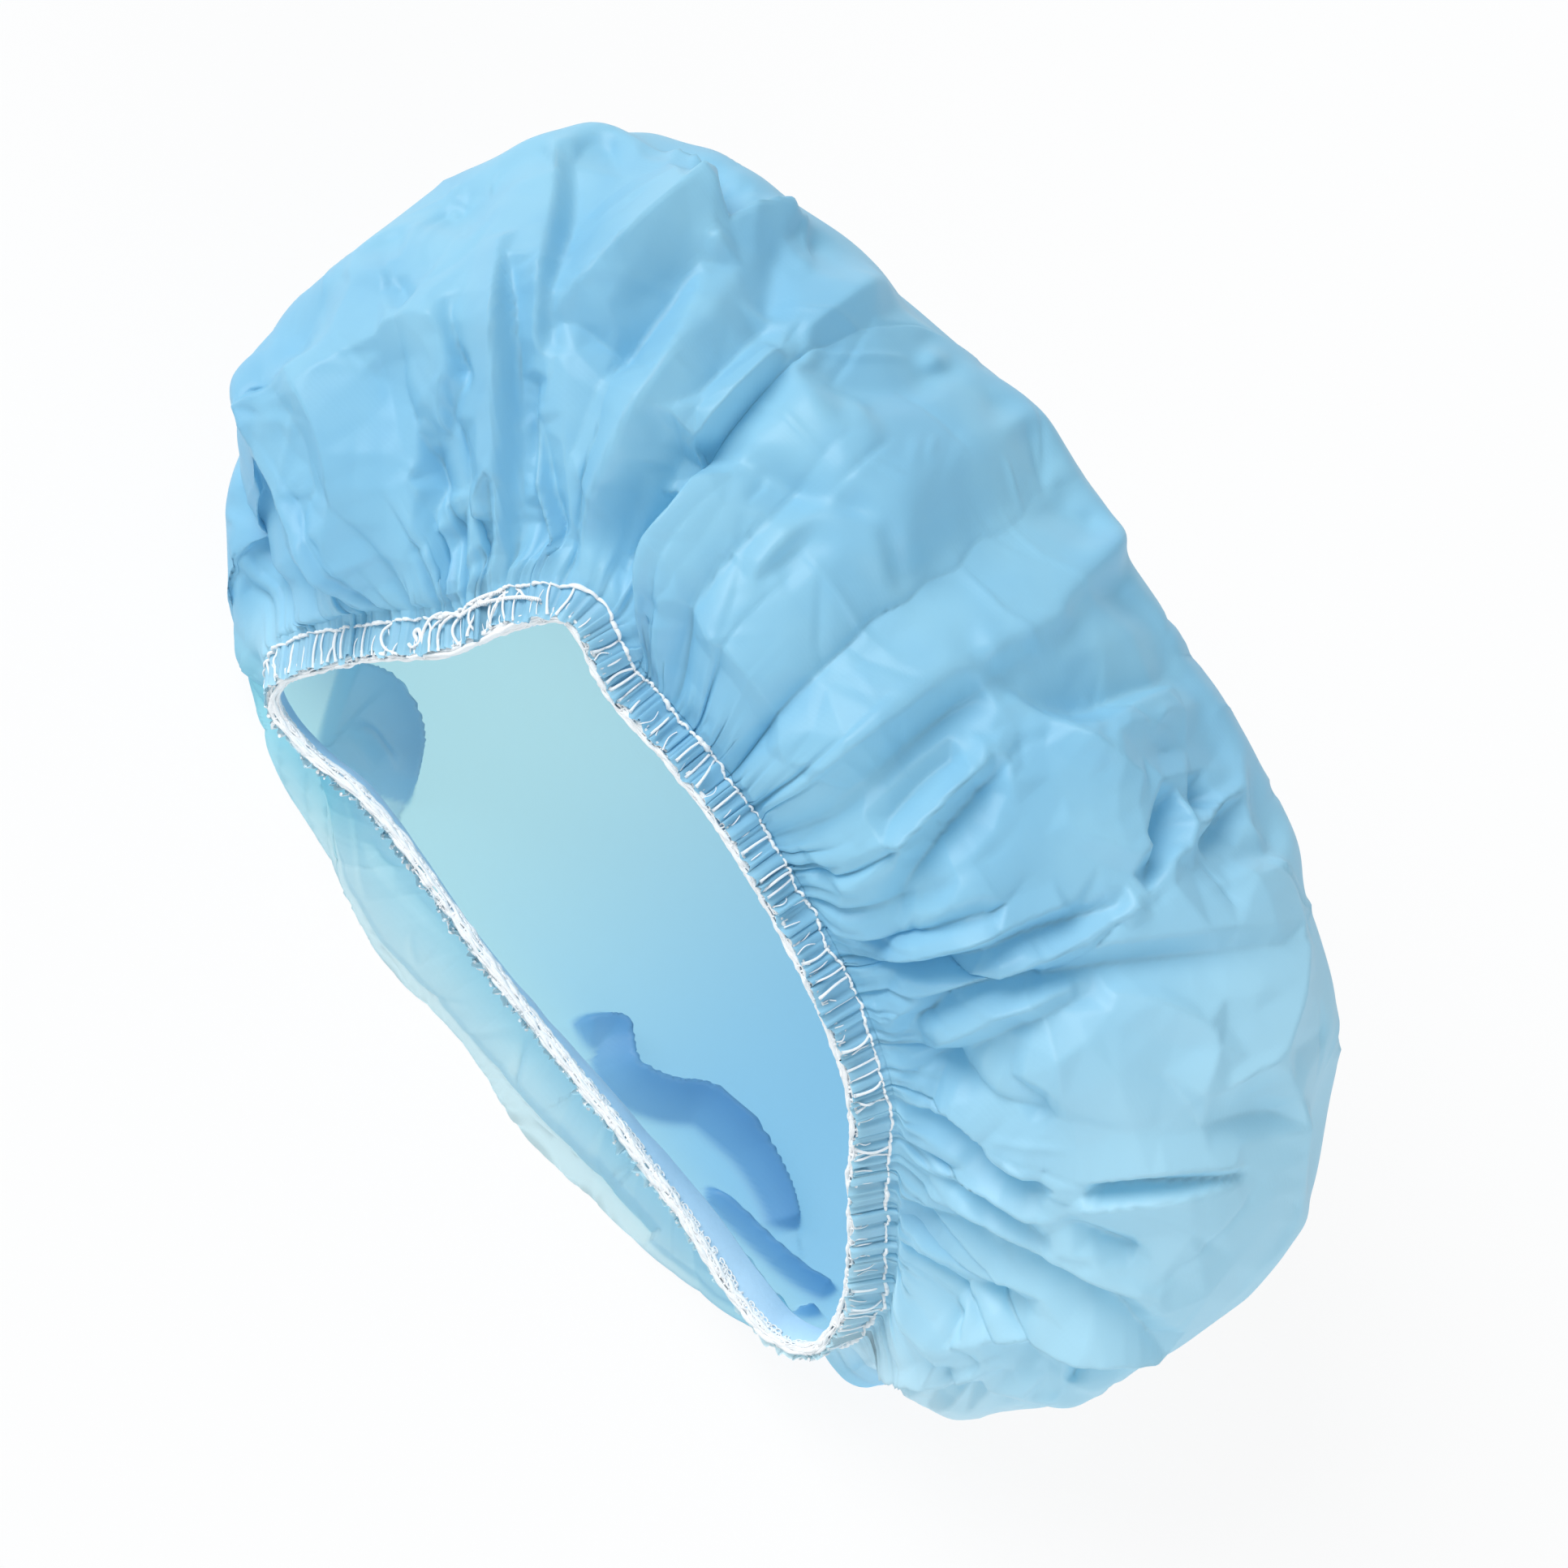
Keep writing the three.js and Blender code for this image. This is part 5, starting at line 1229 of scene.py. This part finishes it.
def make_edge_threads():
    """The white edge: strands that wander along it, wraps round it and teeth up the pleats."""
    rng = np.random.default_rng(44)
    parts = []
    u = even(RIBS * EDGE_STEPS)
    for k in range(EDGE_STRANDS):
        t = k / (EDGE_STRANDS - 1)
        across = strand_waver(EDGE_UP - EDGE_BOW * math.sin(math.pi * t), u, k, *EDGE_ACROSS)
        level = strand_waver(EDGE_OUTSIDE - EDGE_INWARD * t, u, k, *EDGE_OUT)
        radius = strand_waver(EDGE_RADIUS, u, k, *EDGE_SWELL)
        parts.append(tube(by_rim(u, across, level), radius, closed=True))
    turn = np.linspace(*WRAP_TURN, WRAP_STEPS)
    for i in range(RIBS):
        place = (i + rng.uniform(-WRAP_JITTER, WRAP_JITTER)) / RIBS
        across = EDGE_UP - WRAP_BOW * np.sin(turn) + WRAP_LEGS * np.cos(turn) ** 2
        drift = rng.uniform(-WRAP_DRIFT, WRAP_DRIFT) / RIM_LENGTH * np.linspace(-1, 1, WRAP_STEPS)
        parts.append(tube(by_rim(place + drift, across, WRAP_OUT + WRAP_ROUND * np.cos(turn)),
                          rng.uniform(*WRAP_RADIUS), 5))
    for low in RIB_VALLEYS:
        if rng.random() < TOOTH_SHARE:
            across = np.linspace(TOOTH_FOOT, rng.uniform(*TOOTH_TOP), TOOTH_STEPS)
            place = low + rng.normal() * TOOTH_LEAN * across / across[-1] / RIM_LENGTH
            level = hem_level(place, across) * TOOTH_HUG + TOOTH_OUT
            parts.append(tube(by_rim(place, across, level),
                              np.linspace(*TOOTH_RADIUS, TOOTH_STEPS), 5))
    return join(parts)


def chain_loop(u, across, level, long, wide, radius):
    """A small loop of thread lying on the band's inner face."""
    turn = even(CHAIN_STEPS) * TAU
    return tube(by_rim(u + long * np.cos(turn) / RIM_LENGTH, across + wide * np.sin(turn), level),
                radius, 5, closed=True)


def make_chain():
    """The looper's chain inside: two rows of small loops that leave holes between them."""
    rng = np.random.default_rng(45)
    parts, at = [], 0.0
    while at < RIM_LENGTH:
        for share, along, across, level, uneven, long, wide, radius in CHAIN_ROWS:
            if share == 1 or rng.random() < share:
                parts.append(chain_loop(
                    at / RIM_LENGTH + along / RIM_LENGTH, across + rng.uniform(-uneven, uneven),
                    level, long, rng.uniform(*wide), radius))
        at += rng.uniform(*CHAIN_GAP)
    return join(parts)


def overlap_way(stops, step=OVERLAP_STEP):
    """A smooth way over the hem: places round the rim and across the hem."""
    run = smooth_run([(*stop, 0) for stop in stops], step)
    return LAP_PLACE + run[:, 0] / RIM_LENGTH, run[:, 1]


def make_overlap():
    """Loose loops, twisted ends and a thick edge where the seam runs on over its own start."""
    parts = []
    for radius, out, stops in OVERLAP_THREADS:
        place, across = overlap_way(stops)
        level = OVERLAP_OUT + out * np.sin(math.pi * np.linspace(0, 1, len(place)))
        parts.append(tube(by_rim(place, across, level), radius))
    for stops in TWISTED_THREADS:
        place, across = overlap_way(stops, TWIST_STEP)
        turn = np.arange(len(place)) * TWIST_STEP / TWIST_PITCH * TAU
        for phase in (0, math.pi):
            parts.append(tube(by_rim(place, across + TWIST_RADIUS * np.sin(turn + phase),
                                     TWIST_OUT + TWIST_RADIUS * np.cos(turn + phase)),
                              TWIST_THREAD))
    place, across = overlap_way(BUNDLE)
    swell = np.sin(math.pi * np.linspace(*BUNDLE_PART, len(place))) ** BUNDLE_POWER
    for k, (aside, out, radius) in enumerate(BUNDLE_STRANDS):
        wander = strand_waver(0, place, k, *BUNDLE_WANDER)
        parts.append(tube(
            by_rim(place, across + (aside + wander) * swell, BUNDLE_OUT + out + wander),
            radius * (BUNDLE_ENDS + (1 - BUNDLE_ENDS) * swell), 7))
    return join(parts)


def make_tack():
    """The zigzag that holds the elastic's lapped ends together."""
    parts = []
    t = np.linspace(0, 1, TACK_STEPS)
    for k in range(TACK_LEGS):
        u = LAP_PLACE + (k - TACK_LEGS // 2) * TACK_ALONG / RIM_LENGTH
        across = TACK_FOOT + TACK_ACROSS * (t if k % 2 else 1 - t)
        level = TACK_LEVEL - TACK_BOW * np.sin(math.pi * t)
        parts.append(tube(by_rim(u + TACK_ALONG * t / RIM_LENGTH, across, level), TACK_RADIUS))
    return join(parts)


# Materials
# The film's two blues, then its painted light where it is pale, its painted shade where it is
# doubled, partly for the two layers, and its painted light where it is palest.
FILM_BLUE, FILM_LIGHT_BLUE, FILM_PAINTED_PALE = (0.29, 0.61, 0.84), (0.36, 0.69, 0.88), (0.55, 0.85, 0.98)
FILM_DOUBLED_SHADE, FILM_PAINTED_PALEST = (0.16, 0.4, 0.7), (0.85, 0.99, 1.0)
# What shines through the film: where it stands free, painted light where it lies on the table,
# painted shade inside to the right, and painted light in front of the mouth.
GLOW_THIN, GLOW_PALE, GLOW_PAINTED_SHADE = (0.6, 0.88, 0.97), (0.58, 0.94, 1.0), (0.31, 0.7, 1.0)
GLOW_FRONT = (0.9, 0.99, 1.0)
# How much of the light it lets through, and how much painted light makes its right end pale high up.
CLEAR, CLEAR_ON_TABLE, CLEAR_DOUBLED, RIGHT_PAINTED_LIGHT = 0.3, 0.86, 0.35, 0.9
# Where these looks, painted light and shade among them, begin and where they are full, in metres
# along the cap's three axes.
LOW_Z, TABLE_Z = (0.075, 0.004), (0.03, 0.004)
BEHIND_Y, FRONT_Y = (-0.078, -0.05), (-0.066, -0.08)
INSIDE_X, RIGHT_END_X, LEFT_END_X, DEEP_X = (-0.06, 0.07), (0.03, 0.13), (-0.09, -0.115), (-0.11, -0.02)
# Patches of two blues, crumples, and a grain of fine lines: scale and detail.
PATCHES, PATCH_SHARES, CRUMPLES = (26, 4), (0.35, 0.68), (160, 5)
GRAIN, GRAIN_SCALE, GRAIN_DISTORTION, GRAIN_DETAIL = 0.06, 330, 1.5, 1
# How strong the relief is, and how high, in metres.
FILM_RELIEF, CLOTH_RELIEF = (0.2, 0.0004), (0.5, 0.0002)
FILM_ROUGHNESS, FILM_GLOSS = 0.4, 0.4
# The elastic's and the threads' colour, roughness, fineness of the fibres and sheen.
ELASTIC_LOOK, THREAD_LOOK = ((0.5, 0.74, 0.94), 0.7, 900, 0.2), ((0.98, 0.99, 1.0), 0.7, 1500, 0.5)
# Painted shade between the fibres: the colour there is this much darker.
CLOTH_SHADE, CLOTH_DETAIL = 0.92, 3


class Look:
    """The nodes of a material or of the world."""

    def __init__(self, owner):
        owner.use_nodes = True
        self.nodes, self.links = owner.node_tree.nodes, owner.node_tree.links

    def fill(self, node, inputs):
        """Gives a node's inputs their values: numbers, colours or other nodes' outputs."""
        for name, value in inputs.items():
            if isinstance(value, bpy.types.NodeSocket):
                self.links.new(value, node.inputs[name])
            else:
                node.inputs[name].default_value = (*value, 1) if isinstance(value, tuple) else value

    def add(self, kind, inputs):
        """A new node with its inputs."""
        node = self.nodes.new(kind)
        self.fill(node, inputs)
        return node

    def share(self, source, low, high):
        """A share from 0 to 1 as a value goes from low to high."""
        node = self.add("ShaderNodeMapRange", {"Value": source, "From Min": low, "From Max": high})
        node.interpolation_type = "SMOOTHSTEP"
        return node.outputs["Result"]

    def mixed(self, share, first, second):
        """A colour between two."""
        node = self.nodes.new("ShaderNodeMix")
        node.data_type = "RGBA"
        self.fill(node, {"Factor": share, "A": first, "B": second})
        return node.outputs["Result"]

    def computed(self, operation, first, second):
        """The result of an operation on two values."""
        node = self.add("ShaderNodeMath", {0: first, 1: second})
        node.operation = operation
        return node.outputs[0]

    def noise(self, coord, scale, detail):
        """A noise's value at each place."""
        node = self.add("ShaderNodeTexNoise", {"Vector": coord, "Scale": scale, "Detail": detail})
        return node.outputs["Fac"]

    def relief(self, height, strength, distance):
        """The directions of a surface with a fine relief."""
        node = self.add("ShaderNodeBump", {
            "Height": height, "Strength": strength, "Distance": distance})
        return node.outputs["Normal"]

    def end_in(self, share, first, second):
        """Ends the material in a blend of two shaders."""
        mix = self.add("ShaderNodeMixShader", {
            0: share, 1: first.outputs[0], 2: second.outputs[0]})
        self.fill(self.nodes["Material Output"], {"Surface": mix.outputs[0]})


def film_material():
    """Light blue translucent film, with painted light low down and at its right end, and painted
    shade inside to the right and on its doubled folds.
    """
    material = bpy.data.materials.new("film")
    look = Look(material)
    coord = look.nodes.new("ShaderNodeTexCoord").outputs["Object"]
    place = look.add("ShaderNodeSeparateXYZ", {0: coord}).outputs
    x, y, z = place["X"], place["Y"], place["Z"]

    # Painted light makes the film paler low down, where the table shines through it, and painted
    # shade makes what shines through it bluer inside to the right. Painted light makes the right end
    # as pale high up, and at the left end the film stays blue.
    left_end = look.share(x, *LEFT_END_X)
    low = look.computed("SUBTRACT", look.share(z, *LOW_Z), left_end)
    on_table = look.computed("SUBTRACT", look.share(z, *TABLE_Z), left_end)
    on_table = look.computed("MAXIMUM", on_table, 0)
    painted_light_right = look.computed("MULTIPLY", look.share(x, *RIGHT_END_X), RIGHT_PAINTED_LIGHT)
    painted_shade_inside = look.computed("MULTIPLY", look.share(x, *INSIDE_X), look.share(y, *BEHIND_Y))
    patch = look.share(look.noise(coord, *PATCHES), *PATCH_SHARES)
    colour = look.mixed(patch, FILM_BLUE, FILM_LIGHT_BLUE)
    # Painted light: paler low down and at the right end, palest where both meet.
    colour = look.mixed(look.computed("MAXIMUM", low, painted_light_right), colour, FILM_PAINTED_PALE)
    colour = look.mixed(look.computed("MULTIPLY", low, painted_light_right), colour, FILM_PAINTED_PALEST)
    # Painted shade on the doubled film, partly darker for its two layers, and deeper towards the right.
    folded = look.nodes.new("ShaderNodeAttribute")
    folded.attribute_name = "doubled"
    folded = folded.outputs["Fac"]
    deep = look.computed("MULTIPLY", folded, look.share(x, *DEEP_X))
    colour = look.mixed(deep, colour, FILM_DOUBLED_SHADE)

    # Fine crumples, and a grain of lines that cross.
    height = look.noise(coord, *CRUMPLES)
    for direction in ("X", "Y"):
        wave = look.add("ShaderNodeTexWave", {
            "Vector": coord, "Scale": GRAIN_SCALE, "Distortion": GRAIN_DISTORTION,
            "Detail": GRAIN_DETAIL})
        wave.bands_direction = direction
        height = look.computed("ADD", height, look.computed("MULTIPLY", wave.outputs["Fac"], GRAIN))
    normal = look.relief(height, *FILM_RELIEF)
    shader = look.nodes["Principled BSDF"]
    look.fill(shader, {"Base Color": colour, "Roughness": FILM_ROUGHNESS,
                       "Specular IOR Level": FILM_GLOSS, "Normal": normal})

    # What shines through: painted shade inside to the right, painted light on the table and in front of
    # the mouth.
    glow = look.mixed(painted_shade_inside, GLOW_PALE, GLOW_PAINTED_SHADE)
    glow = look.mixed(look.share(y, *FRONT_Y), glow, GLOW_FRONT)
    glow = look.mixed(on_table, GLOW_THIN, glow)
    through = look.add("ShaderNodeBsdfTranslucent", {"Color": glow, "Normal": normal})
    clearness = look.mixed(on_table, (CLEAR,) * 3, (CLEAR_ON_TABLE,) * 3)
    clearness = look.mixed(folded, clearness, (CLEAR_DOUBLED,) * 3)
    look.end_in(clearness, shader, through)
    return material


def cloth_material(name, colour, roughness, scale, sheen):
    """Fibres of one colour, with a little painted shade between them."""
    material = bpy.data.materials.new(name)
    look = Look(material)
    coord = look.nodes.new("ShaderNodeTexCoord").outputs["Object"]
    fibres = look.noise(coord, scale, CLOTH_DETAIL)
    # Painted shade: where the fibres' relief is low, the colour is darker.
    ramp = look.add("ShaderNodeValToRGB", {"Fac": fibres})
    ramp.color_ramp.elements[0].color = (*(c * CLOTH_SHADE for c in colour), 1)
    ramp.color_ramp.elements[1].color = (*colour, 1)
    look.fill(look.nodes["Principled BSDF"], {
        "Base Color": ramp.outputs["Color"], "Roughness": roughness, "Sheen Weight": sheen,
        "Normal": look.relief(fibres, *CLOTH_RELIEF)})
    return material


# The floor and the light
# The floor reaches further to the front, so that no edge of its triangles runs under the cap.
FLOOR_CORNERS = ((-3000, -4500), (3000, -4500), (3000, 3000), (-3000, 3000))
FLOOR_LEVEL, FLOOR_COLOUR, FLOOR_ROUGHNESS, FLOOR_GLOW = -0.4, (0.9, 0.9, 0.9), 0.9, 0.9
# The surroundings are white to the camera, and give less and bluer light.
AROUND_STRENGTH, AROUND_COLOUR, WHITE = 0.39, (0.84, 0.94, 1), (1, 1, 1)
# Each lamp's name, where its light comes from, how wide it is in degrees, and its power.
LAMPS = (("key", (-0.74, -0.16, 0.63), 44, 2.5), ("fill", (0.86, -0.45, 0.26), 60, 1.35))


def add_stage():
    """A pale floor under white surroundings, and two wide lamps."""
    floor = link("floor", [(x, y, FLOOR_LEVEL) for x, y in FLOOR_CORNERS], [(0, 1, 2, 3)])
    material = bpy.data.materials.new("floor")
    look = Look(material)
    shader = look.nodes["Principled BSDF"]
    look.fill(shader, {"Base Color": FLOOR_COLOUR, "Roughness": FLOOR_ROUGHNESS,
                       "Specular IOR Level": 0.0})
    path = look.nodes.new("ShaderNodeLightPath").outputs
    seen = look.computed("MAXIMUM", path["Is Camera Ray"], path["Is Glossy Ray"])
    seen = look.computed("MAXIMUM", seen, path["Is Transmission Ray"])
    look.end_in(look.computed("MULTIPLY", seen, FLOOR_GLOW), shader,
                look.nodes.new("ShaderNodeEmission"))
    floor.data.materials.append(material)

    world = bpy.data.worlds.new("studio")
    bpy.context.scene.world = world
    look = Look(world)
    seen = look.nodes.new("ShaderNodeLightPath").outputs["Is Camera Ray"]
    strength = look.add("ShaderNodeMapRange", {
        "Value": seen, "To Min": AROUND_STRENGTH, "To Max": 1.0})
    look.fill(look.nodes["Background"], {"Strength": strength.outputs["Result"],
                                         "Color": look.mixed(seen, AROUND_COLOUR, WHITE)})

    for name, way, spread, power in LAMPS:
        data = bpy.data.lights.new(name, "SUN")
        data.angle, data.energy = math.radians(spread), power
        put(name, data).rotation_euler = Vector(way).to_track_quat("Z", "Y").to_euler()


# The scene
add_camera()
bpy.context.scene.view_settings.view_transform = "Standard"

film = make_film()
film.data.materials.append(film_material())
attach(film, "root")
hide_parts("cap_film")

elastic = make_elastic()
elastic.data.materials.append(cloth_material("elastic", *ELASTIC_LOOK))
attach(elastic, "root")
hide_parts("elastic_band")

thread_look = cloth_material("thread", *THREAD_LOOK)
for name, make, node in (
    ("needle_line", make_needle_thread, "needle_thread"),
    ("rungs", make_rungs, "upper_looper_thread"),
    ("edge_wraps", make_edge_threads, "lower_looper_thread"),
    ("inner_chain", make_chain, "lower_looper_thread"),
    ("overlap_loops", make_overlap, "seam_overlap_thread"),
    ("lap_tack", make_tack, "elastic_join_tack"),
):
    piece = link(name, *make())
    piece.data.materials.append(thread_look)
    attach(piece, "root")
    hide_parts(node)

add_stage()
